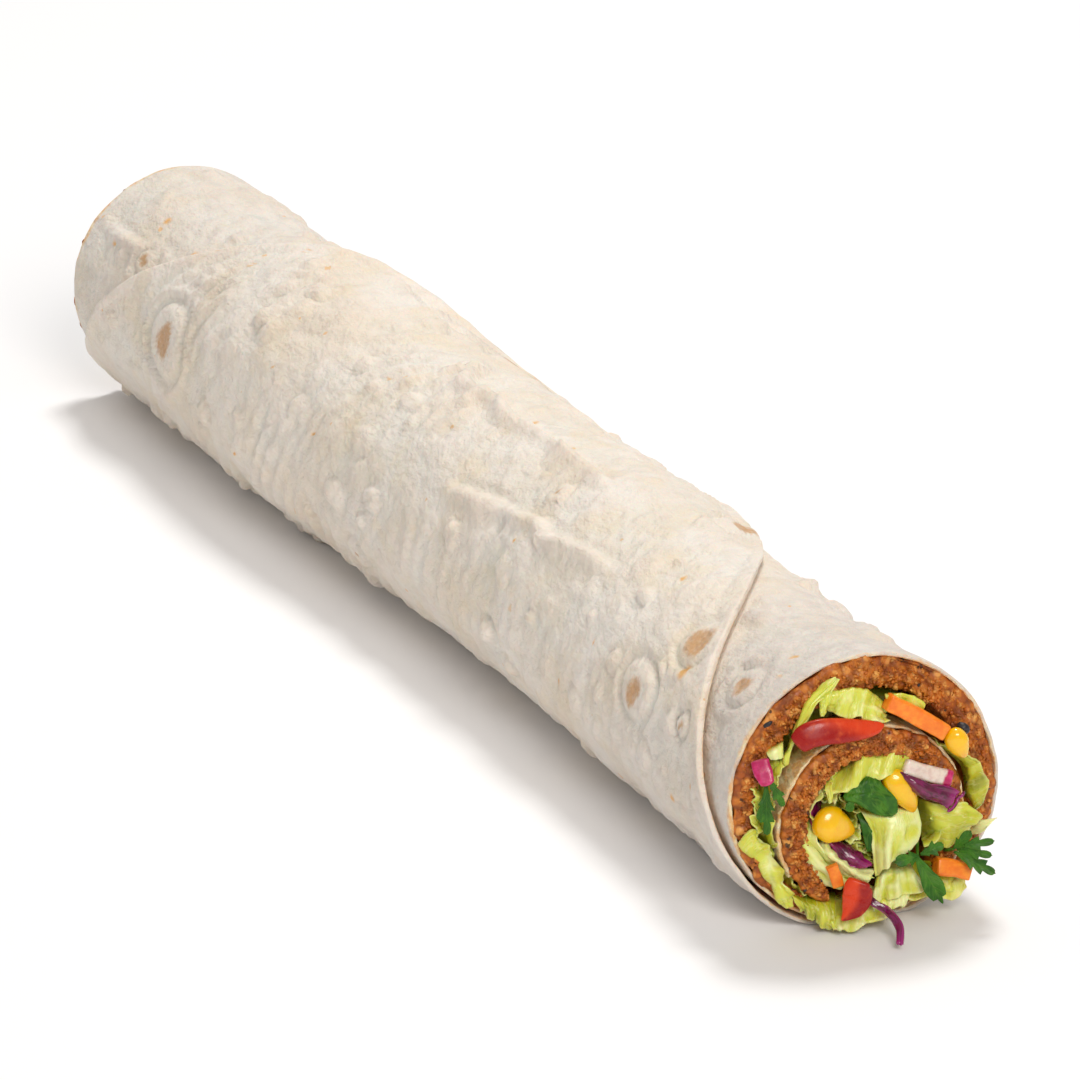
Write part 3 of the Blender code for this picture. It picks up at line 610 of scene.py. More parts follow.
def bread_shape(look):
    """The flatbread: a ring (outer face, rounded rim, inner face, rim) carried along the spiral.

    The outer face has fine columns and carries the relief; the inner face is even. Where the
    flap covers a turn the relief fades out, so that the layers don't meet."""
    turns = np.concatenate([TIP_TURN + np.array([0.5, 1.1, 2.0, 3.2, 4.8]), np.arange(35.6, 389, 2.2),
                            np.arange(390, 576, 2.4), np.arange(580, LAST_TURN, 14.0), [LAST_TURN]])
    outer, inner = 332, 22
    share = np.concatenate([np.linspace(0, 1, outer), [1, 1, 1], np.linspace(1, 0, inner), [0, 0, 0]])
    depth = np.concatenate([np.zeros(outer), [0.12, 0.5, 0.88], np.ones(inner), [0.88, 0.5, 0.12]])
    swollen = np.concatenate([np.zeros(outer), [0.22, 0.34, 0.22], np.zeros(inner), [-0.22, -0.34, -0.22]])
    turn = np.broadcast_to(turns[:, None], (len(turns), len(share)))
    low, high = reach(turn)
    x = low + (high - low) * share
    inset = np.minimum(high - x, x - low)
    edge = np.stack([np.where(share > 0.5, 40.0, 0.0) + 0 * turn, run_of(turn), 0 * turn], axis=-1)
    edge_noise = lattice_noise(edge, 7.0, 12)
    fine_noise = lattice_noise(edge, 2.2, 13)
    near_end = smooth(14, 0, inset)
    height, toast, speck = bread_relief(x, turn)
    cover_low, cover_high = reach(turn - 360.0)
    covered = smooth(-4, 3, x - cover_low) * smooth(-4, 3, cover_high - x)
    covered = np.where(turn > TIP_TURN + 360.0, covered, 0.0)
    covered = np.where(turn > FOLD_LAST + 8.0, 1.0, covered)
    fade = (1.0 - covered) * smooth(TIP_TURN, TIP_TURN + 9.0, turn) * (1.0 - 0.75 * near_end)
    free_edge = smooth(9.0, 0.0, inset) * smooth(FLAP_MEETS_CUT + 6, FLAP_MEETS_CUT - 60, turn)
    height = height * fade * look.relief + 1.15 * free_edge + 0.5 * smooth(TIP_TURN + 16, TIP_TURN + 3, turn)
    height = np.maximum(height, -DEEPEST)
    sunk = np.clip(0.5 * height, -0.28, 0.28)
    x = x + swollen + near_end * np.sign(share - 0.5) * (0.45 * edge_noise + 0.28 * fine_noise)
    inset = np.minimum(high - x, x - low)
    rim_share = 1.0 - 0.42 * smooth(5, 0, inset) * (0.85 + 0.35 * fine_noise)
    below = look.thickness / MM * depth * rim_share - (height * (1.0 - depth) + sunk * depth)
    points = place(x, *layer(turn, below))
    points[..., 2] = np.maximum(points[..., 2], 0.0)
    oily = (0.8 + 0.6 * edge_noise) * smooth(1.6, 0.1, inset) * smooth(330, 420, turn)
    oily = oily + 0.7 * smooth(0.5, 1.0, depth) + smooth(24, 3, high - x) * smooth(585, 640, turn)
    sheet = np.stack([x, run_of(turn), 2.0 * depth + 0.0 * x], axis=-1) * MM
    # Greying has three terms. The first runs near the cut from the roll's -Y side round under into the second
    # turn, and the second lies on the second turn near the far end; both are partly damp from the filling and
    # partly painted shade. The third, on the flap's -Y side near the cut, is painted shade.
    damp_and_shade = smooth(95, 180, x) * smooth(150, 330, turn) * smooth(640, 600, turn)
    damp_and_shade = damp_and_shade + 0.45 * smooth(-60, -100, x) * smooth(380, 395, turn) * smooth(640, 600, turn)
    damp_and_shade = damp_and_shade + 0.35 * smooth(60, 190, x) * smooth(110, 190, turn) * smooth(260, 240, turn)
    masks = {"sheet": sheet, "toast": toast * (1.0 - covered), "oily": np.clip(oily, 0.0, 1.0),
             "speck": speck, "damp_and_shade": np.clip(damp_and_shade, 0.0, 1.0)}
    return closed_grid(points, masks)


def bread_finish(look, groups):
    """Floury flatbread: off-white with cream and grey mottling, toasted spots and oily edges."""
    def build(tree, shader):
        sheet = attribute(tree, "sheet", "Vector")
        broad = noise(tree, sheet, 26.0, 3.0)
        mottle = noise(tree, sheet, 5.5, 4.0, 0.6)
        fine = noise(tree, sheet, 0.9, 3.0, 0.65)
        warm = noise(tree, sheet, 17.0, 4.0, 0.7)
        colour = mix(tree, steps(tree, broad, 0.35, 0.68), look.flour, look.cream)
        colour = mix(tree, steps(tree, mottle, 0.46, 0.72), colour, look.thin, 0.45)
        colour = mix(tree, steps(tree, fine, 0.5, 0.75), colour, look.flour, 0.45)
        colour = mix(tree, steps(tree, warm, 0.48, 0.66), colour, look.butter, 0.4)
        # Damp grey and painted shade where the mask is set, broken up by the mottle.
        damp_and_shade = calc(tree, "MULTIPLY", attribute(tree, "damp_and_shade"), steps(tree, mottle, 0.35, 0.65, 0.45, 0.85))
        colour = mix(tree, damp_and_shade, colour, look.damp_and_shade)
        specks = placed(tree, groups["specks"], Vector=sheet, Spacing=120.0, Size=0.12)["Mask"]
        specks = calc(tree, "MAXIMUM", calc(tree, "MULTIPLY", specks, 0.6),
                      steps(tree, attribute(tree, "speck"), 0.2, 0.9))
        colour = mix(tree, specks, colour, look.speck)
        ragged = calc(tree, "MULTIPLY_ADD", noise(tree, sheet, 1.6, 3.0, 0.7), 1.1, -0.55)
        toasted = steps(tree, calc(tree, "ADD", attribute(tree, "toast"), ragged), 0.15, 1.15)
        brown = mix(tree, noise(tree, sheet, 1.3, 2.0), look.toast, look.scorch)
        colour = mix(tree, toasted, colour, brown, 0.85)
        ragged = calc(tree, "MULTIPLY_ADD", noise(tree, sheet, 2.4, 3.0, 0.7), 1.4, -0.7)
        oily = steps(tree, calc(tree, "ADD", attribute(tree, "oily"), ragged), 0.25, 1.1)
        patches = steps(tree, noise(tree, sheet, 3.4, 3.0, 0.6), 0.42, 0.62)
        colour = mix(tree, oily, colour, mix(tree, patches, look.oil, look.oil_light), 0.8)
        roughness = steps(tree, oily, 0.0, 1.0, 0.78, 0.38)
        small = calc(tree, "MULTIPLY_ADD", noise(tree, sheet, 2.6, 4.0, 0.6), 1.0,
                     calc(tree, "MULTIPLY", fine, 0.35))
        small = calc(tree, "MULTIPLY_ADD", noise(tree, sheet, 5.5, 2.0), 1.6, small)
        connect(tree, shader, colour, roughness, small, 0.7, 1.1)

    return finish_of("Flatbread", build, **{"Subsurface Weight": 0.12, "Subsurface Scale": 0.004,
                                            "Specular IOR Level": 0.3, "Sheen Weight": 0.12})


# The falafel paste

def paste_front(look, turn, depth, x):
    """How far the paste stands out of the roll's end: a swelling with lumps and packed grains.

    Where the bread shows its inner face at the top right, the paste's outer part stands back."""
    at = np.stack([x, run_of(turn) * 0.9, depth * paste_depth(turn)], axis=-1)
    heap = np.sin(np.pi * depth) ** 0.6
    lumps = 0.75 * lattice_noise(at, 6.5, 23) + 0.45 * lattice_noise(at, 2.8, 24)
    grains = 0.5 - grain_cells(at, 1.5, 21)
    small = 0.45 - grain_cells(at, 0.85, 22)
    rough = look.crags / MM * (lumps * (0.3 + 0.8 * heap) + 0.9 * grains + 0.35 * small)
    recess = 2.4 * bell(turn, 424, 20) * smooth(0.6, 0.1, depth) * (x > 0)
    return 0.8 * heap + 0.45 + rough - recess


def falafel_shape(look):
    """The paste: a ring (outer face, craggy end, inner face, far end) carried along the spiral.

    Its ends bulge in the middle and carry packed grains: rounded cells over two soft noises."""
    turns = np.arange(PASTE_FIRST, PASTE_LAST + 0.1, 1.3)
    close = np.array([0.0, 0.7, 1.5, 2.6, 4.2, 7.0, 12.0])
    span = 2 * HALF_LENGTH
    along = np.concatenate([close / span, np.linspace(0.06, 0.94, 14), 1 - close[::-1] / span])
    across = np.linspace(0, 1, 13)[1:-1]
    share = np.concatenate([along, np.ones(len(across)), along[::-1], np.zeros(len(across))])
    depth = np.concatenate([np.zeros(len(along)), across, np.ones(len(along)), across[::-1]])
    end = np.concatenate([np.zeros(len(along)), np.ones(len(across)), np.zeros(len(along)),
                          -np.ones(len(across))])
    end = np.where(share >= 1, 1.0, np.where(share <= 0, -1.0, end))
    turn = np.broadcast_to(turns[:, None], (len(turns), len(share)))
    low, high = reach(turn)
    x = low + (high - low) * share
    thick = paste_depth(turn)
    rough_at = np.stack([x, run_of(turn) * 0.9, depth * thick], axis=-1)
    near = smooth(10, 0, np.minimum(high - x, x - low))
    grains = 0.5 - grain_cells(rough_at, 1.5, 21)
    x = x + end * paste_front(look, turn, depth + 0.0 * turn, x)
    side = near * (0.4 * lattice_noise(rough_at, 2.8, 25) + 0.5 * grains) * smooth(0.5, 1.0, depth)
    smear = (np.abs(end) > 0.5) * smooth(0.3, 0.0, depth)
    smear = smear * (0.85 + 0.55 * lattice_noise(rough_at, 2.2, 27) + 0.3 * grains)
    below = look.bread / MM + GAP + thick * depth + side - smear
    points = place(x, *layer(turn, below))
    # Painted shade: a mask that is high between the grains near the ends.
    masks = {"cleft_shade": (0.5 - grains) * near, "tone": 0.5 + 0.5 * lattice_noise(rough_at, 4.0, 26)}
    return closed_grid(points, masks)


def grain_shape(look):
    """Loose grains on the paste's ends: uneven beads, each a ring profile that is turned and stretched.

    A bead's places are sin(lift) along its axis and cos(lift) about it, with a random swelling."""
    draw = np.random.default_rng(31)
    count, rings, segments = look.grains, 4, 6
    end = np.where(np.arange(count) < 0.68 * count, 1.0, -1.0)
    turn = draw.uniform(PASTE_FIRST + 8, PASTE_LAST - 3, count)
    depth = draw.uniform(0.02, 0.99, count)
    low, high = reach(turn)
    x = np.where(end > 0, high, low)
    x = x + end * (paste_front(look, turn, depth, x) + draw.uniform(-0.2, 0.12, count))
    middle = place(x, *layer(turn, look.bread / MM + GAP + paste_depth(turn) * depth))
    lift = np.linspace(-1.2, 1.2, rings)
    spin = np.arange(segments) * 2 * np.pi / segments
    bead = np.stack(np.broadcast_arrays(np.sin(lift)[:, None], np.cos(lift)[:, None] * np.cos(spin),
                                        np.cos(lift)[:, None] * np.sin(spin)), axis=-1)
    size = draw.uniform(0.30, 0.62, (count, 1)) * draw.uniform([1.0, 0.7, 0.55], [1.5, 1.0, 0.85], (count, 3))
    swollen = 1.0 + 0.14 * draw.normal(size=(count, rings, segments, 1))
    turned = np.linalg.qr(draw.normal(size=(count, 3, 3)))[0]
    points = np.einsum("nrsa,nab->nrsb", bead * size[:, None, None] * swollen, turned) + middle[:, None, None]
    one = closed_grid(bead)
    flip = np.linalg.det(turned) < 0
    first = (rings * segments * np.arange(count))[:, None, None]
    faces = []
    for group in one["faces"]:
        faces.append((group[None] + first[~flip]).reshape(-1, group.shape[1]))
        faces.append((group[None, :, ::-1] + first[flip]).reshape(-1, group.shape[1]))
    tone = np.repeat(draw.uniform(0.3, 1.15, count), rings * segments)[:, None]
    # Loose grains get a low cleft mask, below the level that paints shade.
    return {"points": points.reshape(-1, 3), "faces": faces, "masks": {"tone": tone, "cleft_shade": 0.2 * tone}}


def falafel_finish(look, groups, name, bump):
    """Moist ground chickpea: red-brown paste with tan grains, dark clefts, herb and pepper flecks."""
    def build(tree, shader):
        spot = object_place(tree)
        grains = placed(tree, groups["grains"], Vector=spot, Scale=620.0)
        flecks = placed(tree, groups["specks"], Vector=spot, Spacing=330.0, Size=0.24)["Mask"]
        rust = steps(tree, noise(tree, spot, 5.0, 3.0, 0.6), 0.5, 0.7)
        tone = calc(tree, "MULTIPLY_ADD", attribute(tree, "tone"), 0.45,
                    calc(tree, "MULTIPLY", grains["Tone"], 0.6))
        colour = mix(tree, steps(tree, tone, 0.25, 0.62), look.paste, look.middle)
        colour = mix(tree, steps(tree, tone, 0.62, 0.95), colour, look.grain)
        # Painted shade in the clefts between grains.
        colour = mix(tree, grains["Cleft_shade"], colour, look.cleft_shade, 0.75)
        colour = mix(tree, steps(tree, attribute(tree, "cleft_shade"), 0.55, 1.05), colour, look.cleft_shade, 0.8)
        colour = mix(tree, rust, colour, look.rust, 0.5)
        colour = mix(tree, flecks, colour, look.fleck, 0.85)
        roughness = steps(tree, noise(tree, spot, 1.4, 3.0), 0.3, 0.7, 0.36, 0.66)
        connect(tree, shader, colour, roughness, grains["Height"], bump, 0.5)

    return finish_of(name, build, **{"Subsurface Weight": 0.1, "Subsurface Scale": 0.0015,
                                     "Coat Weight": 0.04, "Coat Roughness": 0.25,
                                     "Specular IOR Level": 0.42})


# The salad

def leaf_shape(net, end, rows=36, columns=38, thickness=0.4, ruffle=0.5, waves=3.0, tone=0.5, seed=1):
    """A leaf through a net of places (y, z, out), from its root row to its free edge.

    Its middle surface is the smooth surface through the net. It is moved along its normal by
    pleats, sines of the place across it that grow towards the free edge, and by a ridged noise,
    1 - 2|n|. Its free edge runs ragged by a noise along it."""
    middle = net_surface(at_end(net, end), rows, columns)
    u = np.linspace(0, 1, columns)[None] + np.zeros((rows, 1))
    v = np.linspace(0, 1, rows)[:, None] + np.zeros((1, columns))
    width = float(np.linalg.norm(np.diff(middle, axis=1), axis=-1).sum(axis=1).mean())
    height = float(np.linalg.norm(np.diff(middle, axis=0), axis=-1).sum(axis=0).mean())
    flat = np.stack([u * width + 17.3 * seed, v * height, 0 * u], axis=-1)
    down = np.gradient(middle, axis=0)
    normal = np.cross(down, np.gradient(middle, axis=1))
    normal /= np.maximum(np.linalg.norm(normal, axis=-1, keepdims=True), 1e-9)
    down /= np.maximum(np.linalg.norm(down, axis=-1, keepdims=True), 1e-9)
    edge_line = np.stack([flat[..., 0], 0 * u, 0 * u], axis=-1)
    ragged = 0.7 * lattice_noise(edge_line, 2.3, seed + 7) + 0.35 * lattice_noise(edge_line, 0.9, seed + 8)
    phase = 1.7 * seed + 1.2 * lattice_noise(flat, 5.0, seed + 9)
    pleat = np.sin(2 * np.pi * waves * u + phase + 2.2 * v)
    pleat = pleat + 0.45 * np.sin(2 * np.pi * 2.6 * waves * u + 1.4 * phase)
    ridge = 1.0 - 2.0 * np.abs(lattice_noise(flat, 3.4, seed))
    push = ruffle * v ** 1.6 * pleat + 0.34 * ridge * smooth(0.0, 0.3, v)
    push = push + 0.12 * lattice_noise(flat, 1.1, seed + 50)
    middle = middle + normal * push[..., None] + down * (min(1.0, 1.6 * ruffle) * ragged * v ** 5)[..., None]
    middle[..., 2] = np.maximum(middle[..., 2], 0.5)
    # Painted light and shade: lighter where the pleats and ridges push out along the normal, darker where
    # they sink. The tone also rises towards the free edge.
    shade = tone + 0.12 * pleat * v + 0.16 * ridge + 0.1 * (v - 0.6)
    masks = {"leaf": flat, "tone": shade, "edge": np.maximum(v, 1.0 - 4.0 * np.minimum(u, 1 - u))}
    return thin_solid(middle, thickness, masks)


# Leaves in the middle at the near end: net of (y, z, out) from root to free edge, ruffle, waves, tone, whose
# low values mix in painted shade
MIDDLE_LEAVES = (
    (([(-1, 26, -3), (4, 26, -3), (9, 26, -3), (13, 26, -3)],
      [(0.5, 24, 2), (5, 22.8, 3.5), (9.5, 22.8, 4), (13, 23.8, 3)],
      [(2.8, 19.4, 3), (6, 18.8, 5.5), (10, 18.8, 6), (13.7, 19.2, 4)],
      [(3.2, 14.5, 4), (6, 14.5, 6.5), (9.5, 15, 6.8), (13.2, 16.2, 5)],
      [(3.6, 9.2, 5), (5.8, 10.6, 6.6), (8.5, 12.3, 6.8), (11.4, 13.9, 6)]), 0.55, 1.8, 0.8),
    (([(13, 25.5, -2), (13.5, 22, -2), (14, 18, -2), (15, 14.5, -2)],
      [(15.5, 24.2, 3.5), (16.5, 21.5, 4.5), (17.5, 17.5, 4.5), (17.8, 14, 3.5)],
      [(19.5, 23, 5.5), (20.5, 20.4, 6.5), (21, 16.8, 6.5), (20.2, 13, 5.5)],
      [(23.5, 23, 6), (24.2, 20.5, 7.2), (23.8, 17.6, 7.2), (22, 14.4, 6.5)],
      [(25.3, 21.8, 5.8), (27.3, 19.8, 6.8), (26.2, 17.6, 7), (24, 15.6, 6.8)]), 0.4, 2.0, 0.55),
    (([(23.5, 15.6, 2), (24.5, 18.8, 2)], [(26.6, 15.4, 6), (27.6, 18.4, 6)],
      [(28.8, 16.2, 7.4), (30.8, 18.4, 7.4)]), 0.25, 1.0, 1.0),
    (([(15.4, 19.6, 0.5), (15.9, 18.5, 0), (15.6, 17, 0), (15, 16.2, 0.5), (14.2, 16, 1.5)],
      [(15.8, 20.1, 3), (17.2, 18.9, 3.4), (17, 17, 3.6), (16, 15.6, 3.8), (14.4, 15.2, 4)],
      [(16, 20.3, 4.4), (18.2, 19.2, 5), (18.5, 17, 5.4), (17, 15, 5.6), (14.6, 14.5, 5.4)]),
     0.12, 1.0, 0.45),
    (([(-5, 34, -4), (-2, 36.5, -4), (1.5, 38, -4), (6, 39, -4), (10.5, 38.5, -4), (13, 36, -4)],
      [(-6.3, 32.8, 0), (-3, 34.2, 0), (0.8, 36.4, 2.6), (4.4, 37.4, 1.4), (9, 37.4, 2.4),
       (12.6, 35.8, 1)],
      [(-8, 30, 2.6), (-4.4, 29, 3.8), (-0.6, 29.6, 4.8), (3, 30.8, 4.6), (6.8, 31, 5), (12, 32, 3.4)]),
     0.5, 2.2, 0.5),
    (([(-7.3, 31.8, 1.5), (-6, 31.6, 2.6)], [(-7.6, 30, 2.5), (-6.1, 30, 3.5)],
      [(-7.1, 28.4, 2.8), (-6, 28.6, 3.5)], [(-6.7, 27, 2.6), (-6.3, 27, 2.9)]), 0.15, 1.0, 0.6),
    (([(-14.2, 25.5, -3), (-12.6, 26, -3), (-10.6, 25, -3), (-9, 23.6, -3)],
      [(-14.9, 21, 1), (-13, 21.4, 3.2), (-11.2, 20.4, 1.2), (-9.4, 19.6, 3)],
      [(-14, 17, 1.6), (-11.8, 17.2, 4), (-9.4, 16.8, 2), (-7.4, 16, 4)],
      [(-11, 13, 2.4), (-9, 13.6, 4.6), (-6.6, 13.4, 2.6), (-4.6, 13, 4.6)],
      [(-8, 9.6, 3), (-6, 10.6, 5), (-3.6, 10.4, 3.2), (-1, 10.6, 5.2)],
      [(-4.4, 7.4, 3.6), (-2.4, 7.8, 5.6), (0.4, 7.8, 4), (3.4, 8.6, 5.8)]), 0.45, 2.5, 0.85),
    (([(-9, 21, -2), (-7.6, 20.6, -2), (-6.4, 19.6, -3)],
      [(-8.4, 16.4, 2.6), (-6.6, 16.4, 4.4), (-5.2, 15.8, 0)],
      [(-5.6, 13.2, 3.4), (-3.8, 13.2, 5.2), (-2.2, 13, 1)],
      [(-2.4, 10.4, 4), (-0.6, 10.6, 6), (0.8, 11.2, 2)], [(1.2, 8.6, 4.6), (2.8, 9, 6.2), (3.8, 10, 3)]),
     0.3, 2.0, 1.0),
    (([(-14, 24.5, -1), (-12.5, 25, -1), (-11, 24, -3)],
      [(-12.5, 21.5, 0), (-11, 21.8, 0), (-9.5, 21, -3)],
      [(-10.4, 19.6, 0), (-9.2, 20, 0), (-8, 19, -3)]), 0.3, 1.5, 0.25),
    (([(4, 11, -1), (8, 12, -1), (12, 11.5, -1)], [(4, 9.3, 3.6), (8, 10, 4.6), (12, 9.4, 4.6)],
      [(3.6, 6.4, 5.4), (8.2, 7.2, 6.6), (13.4, 7.4, 6.4)],
      [(3.0, 3.4, 6), (8.6, 3.6, 7.4), (15.4, 4.4, 7)]), 0.7, 2.5, 0.75),
    (([(2.6, 7, 1), (7, 6, 1), (12, 6, 1)], [(3, 4.4, 5.4), (7, 3.8, 6.4), (11.5, 3.8, 6.4)],
      [(3.4, 1, 6.6), (7.4, 0.5, 7.6), (11, 2.4, 7)]), 0.45, 2.5, 0.9),
    (([(-8, 5, 0), (-3, 6, 0), (2, 6, 1), (7, 6, 1)],
      [(-7.5, 1.8, 5), (-3, 1.2, 6.4), (2, 1.4, 6.8), (7, 1.8, 6.6)],
      [(-5.4, -1.4, 7.4), (-2.4, -2.4, 8.2), (2, -1.4, 8.2), (7.4, -0.6, 7.8)]), 0.6, 3.0, 0.7),
    (([(8, 10, 0), (13, 11, 0), (19, 10, 0), (23, 9, 0)],
      [(8, 7.2, 3.4), (13, 7.6, 4.4), (18.4, 7, 4.6), (23, 6.6, 4)],
      [(7, 3.4, 5), (12.4, 2.6, 6), (17.6, 2.4, 6), (23.4, 3.4, 5.4)]), 0.6, 3.0, 0.4),
    (([(16, 8, 0), (19, 8, 0), (23, 8, 0)], [(17.5, 5.6, 4.6), (20.5, 5.2, 5.4), (24, 6, 5)],
      [(18.6, 2.6, 5.2), (21.4, 1.2, 6), (24.6, 3.6, 5.6)]), 0.3, 1.5, 0.65),
)
# Leaves at the near end, between the outer and the inner turns
OUTER_LEAVES = (
    (([(-16.5, 36.6, -4), (-16.6, 36.6, 1.6), (-15.9, 37, 2.2)],
      [(-17, 38.5, -4), (-17.2, 38.5, 1.6), (-15.6, 39, 2.6)],
      [(-15.6, 41.5, -4), (-15.6, 41.5, 1.8), (-15, 42, 3)],
      [(-14.6, 44.2, -4), (-14.6, 44.2, 2), (-13.8, 44.6, 3.2)],
      [(-13.7, 47, -4), (-13.7, 47, 1.6), (-11.4, 47, 3.4)],
      [(-12.5, 50.2, -4), (-12.5, 50.2, 1.6), (-9.6, 50, 3.4)],
      [(-9.2, 53.2, -4), (-9.2, 53.2, 1.6), (-6.8, 51.6, 3)],
      [(-6, 54.8, -3), (-6, 54.8, 1.6), (-4.8, 54.6, 2.6)]), 0.4, 2.0, 0.6),
    (([(-9.8, 50.5, -4), (-6.5, 51, -4), (-3, 51, -4), (0.5, 50.5, -4), (3.2, 49, -4),
       (6.5, 45.5, -4)],
      [(-9.4, 51.2, 1.8), (-6.5, 51.9, 2.2), (-3, 51.7, 2.4), (0.5, 51.2, 2.6), (3.2, 49.8, 2.4),
       (6.2, 46, 1.8)],
      [(-9.2, 48.6, 3.2), (-6.8, 49.4, 3.6), (-3.4, 49, 4.2), (-0.4, 48.2, 4), (2.2, 47.4, 4.2),
       (5.8, 44.9, 2.8)],
      [(-9, 46.2, 4.2), (-7.4, 48.2, 3.4), (-4.4, 45.8, 4.8), (-1, 45.1, 5.2), (2, 44.5, 5),
       (6.4, 43.6, 3.4)]), 0.8, 4.0, 0.65),
    (([(-17.5, 40, -5), (-20.4, 35, -5), (-22, 29.5, -5), (-22, 24, -5), (-20.4, 18.5, -5)],
      [(-17.2, 40, 0), (-20, 35, 0.4), (-21.6, 29.5, 0.6), (-21.6, 24, 0.4), (-20, 18.6, 0)],
      [(-17.4, 37, 2), (-18.6, 33.4, 3), (-19.4, 29.2, 3.4), (-19.4, 24.4, 3.2), (-18, 18.8, 2.4)]),
     0.6, 4.0, 0.35),
    (([(-20, 15, -5), (-16, 9.6, -5), (-11.4, 6, -5)],
      [(-19, 14.4, -1), (-15.4, 9.4, -0.6), (-11.4, 6.4, -0.4)],
      [(-17.6, 14.4, 1.4), (-14, 9.6, 1.8), (-10.6, 6.6, 2)]), 0.6, 3.0, 0.4),
    (([(-19.6, 41.2, -1), (-22.6, 35.6, -1), (-23.6, 29.4, -1), (-22.8, 23, -1), (-20.6, 17, -1)],
      [(-18.6, 38.6, 0.6), (-20.8, 34.2, 0.6), (-21.8, 28.6, 0.6), (-21.1, 22.4, 0.6),
       (-19.3, 16.4, 0.6)],
      [(-16.9, 36.6, 0.8), (-19, 32.6, 0.9), (-20.3, 27.6, 1), (-20.1, 22, 1), (-18.9, 16.2, 0.8)]),
     0.3, 4.0, 0.3),
    (([(-20, 42, -3), (-17, 42, -3)], [(-20.9, 40.3, 1.4), (-17.2, 41.6, 2.2)],
      [(-19.8, 38.5, 2.2), (-17.2, 38.6, 2.8)]), 0.2, 1.0, 0.8),
    (([(5.5, 49, -3), (10, 48.6, -3), (14, 47, -3)],
      [(5.4, 49.4, 3.2), (9.8, 48.8, 3.6), (14.4, 46.2, 3.2)],
      [(6, 48, 4), (10, 47, 4.2), (14, 44.8, 3.6)]), 0.2, 1.5, 0.5),
    (([(15.6, 38.4, -2), (20, 34.6, -2), (23, 31.5, -2), (23.9, 28, -2), (24.2, 24.5, -2),
       (26.4, 20.4, -2)],
      [(16.4, 38, 1.4), (20.6, 34.8, 1.6), (24, 31.6, 1.8), (25, 28, 2), (25.2, 24.4, 2),
       (26.6, 20.8, 1.8)],
      [(17.4, 37.8, 3), (21.8, 34.2, 3.2), (26.4, 31.8, 3.2), (27.7, 28.8, 3.2), (29.2, 26, 3.2),
       (28.2, 22, 3)]), 0.4, 3.5, 0.35),
    (([(-26.2, 21.6, -3), (-25, 19, -3), (-22.6, 16.8, -3), (-21, 13.6, -3), (-19.6, 10.2, -2),
       (-17.6, 7, -1), (-16.4, 5, 0)],
      [(-26.8, 21.2, 1.4), (-25.2, 18.6, 1.8), (-22.8, 16.4, 1), (-21.6, 13.6, 2),
       (-19.6, 10.2, 1.4), (-18.2, 7, 2.4), (-16.8, 5, 2)],
      [(-24.6, 23.6, 2.8), (-23.2, 20.2, 3.4), (-21.2, 17.8, 2.4), (-19.2, 14, 3.6),
       (-18, 10.4, 2.8), (-16.4, 7.2, 3.8), (-16, 4.8, 3)],
      [(-23.2, 22.8, 1.6), (-21, 20.2, 1.8), (-19.4, 17.2, 2.4), (-17.4, 13.6, 2),
       (-16.4, 10.4, 2.6), (-14.8, 7.4, 2.2), (-15.2, 5, 2.6)]), 0.5, 4.0, 0.7),
    (([(-23.2, 33.6, -3), (-22, 29.4, -3), (-23, 26, -3), (-22, 22.6, -3)],
      [(-23.4, 33.4, 1), (-22.3, 29.4, 1), (-23.2, 26, 1), (-22.2, 22.6, 1)],
      [(-24.3, 32.8, 2.2), (-23.2, 29.4, 2.4), (-24.3, 26.2, 2.4), (-23.2, 22.4, 2.2)]), 0.5, 2.5, 0.55),
    (([(-16, 10, -3), (-12.6, 8.4, -3), (-9, 7, -2), (-5, 6.4, -2)],
      [(-15.2, 7.8, 1.6), (-12, 6, 2.6), (-8.5, 4.6, 3.8), (-5, 3.6, 4.6)],
      [(-13.4, 5.4, 2.4), (-10.8, 3.4, 4.2), (-7.8, 1.6, 5.8), (-4.8, 0.6, 6.6)],
      [(-12.6, 3.4, 2), (-10.5, 1, 3.6), (-7.8, -0.6, 5), (-4.3, -1.6, 6.6)]), 0.5, 3.0, 0.35),
)
# Leaves at the far end, in the middle and between the turns
FAR_MIDDLE_LEAVES = (
    (([(-9, 30, -4), (0, 34, -4), (9, 32, -4)], [(-8.5, 30, 0), (0, 33.5, 0.5), (8.6, 31.6, 0)],
      [(-7, 28, 1.2), (0, 30.6, 1.6), (7.4, 29.6, 1.2)]), 0.5, 3.0, 0.5),
    (([(-10, 20, -4), (-4, 12, -4), (4, 10.5, -4)],
      [(-9.4, 20, 0.6), (-3.8, 12.8, 1), (3.8, 11.2, 0.6)],
      [(-7.6, 19.4, 2), (-3, 15, 2.4), (3, 13.6, 2)]), 0.5, 3.0, 0.85),
    (([(13, 28, -4), (12, 20, -4), (8, 13.5, -4)],
      [(12.6, 27.6, 0.4), (11.6, 20.2, 0.8), (7.8, 14.2, 0.4)],
      [(10.4, 27, 1.6), (9.6, 20.6, 2), (6.6, 16.2, 1.6)]), 0.5, 2.5, 0.6),
    (([(-4, 24, -4), (1, 22, -4), (6, 20, -4)], [(-4, 24.6, 0), (1, 22.8, 0.4), (6, 20.6, 0)],
      [(-3.4, 26.4, 1.6), (1.6, 24.8, 2.2), (6.4, 22.4, 1.4)]), 0.5, 2.0, 0.75),
    (([(-8, 9.4, -4), (0, 7.6, -4), (8, 8.6, -4)], [(-8, 8, 0.2), (0, 6.4, 0.4), (7.6, 7.4, 0.2)],
      [(-7.4, 6.4, 1.2), (0, 5, 1.4), (7, 6, 1.2)]), 0.4, 3.0, 0.6),
)
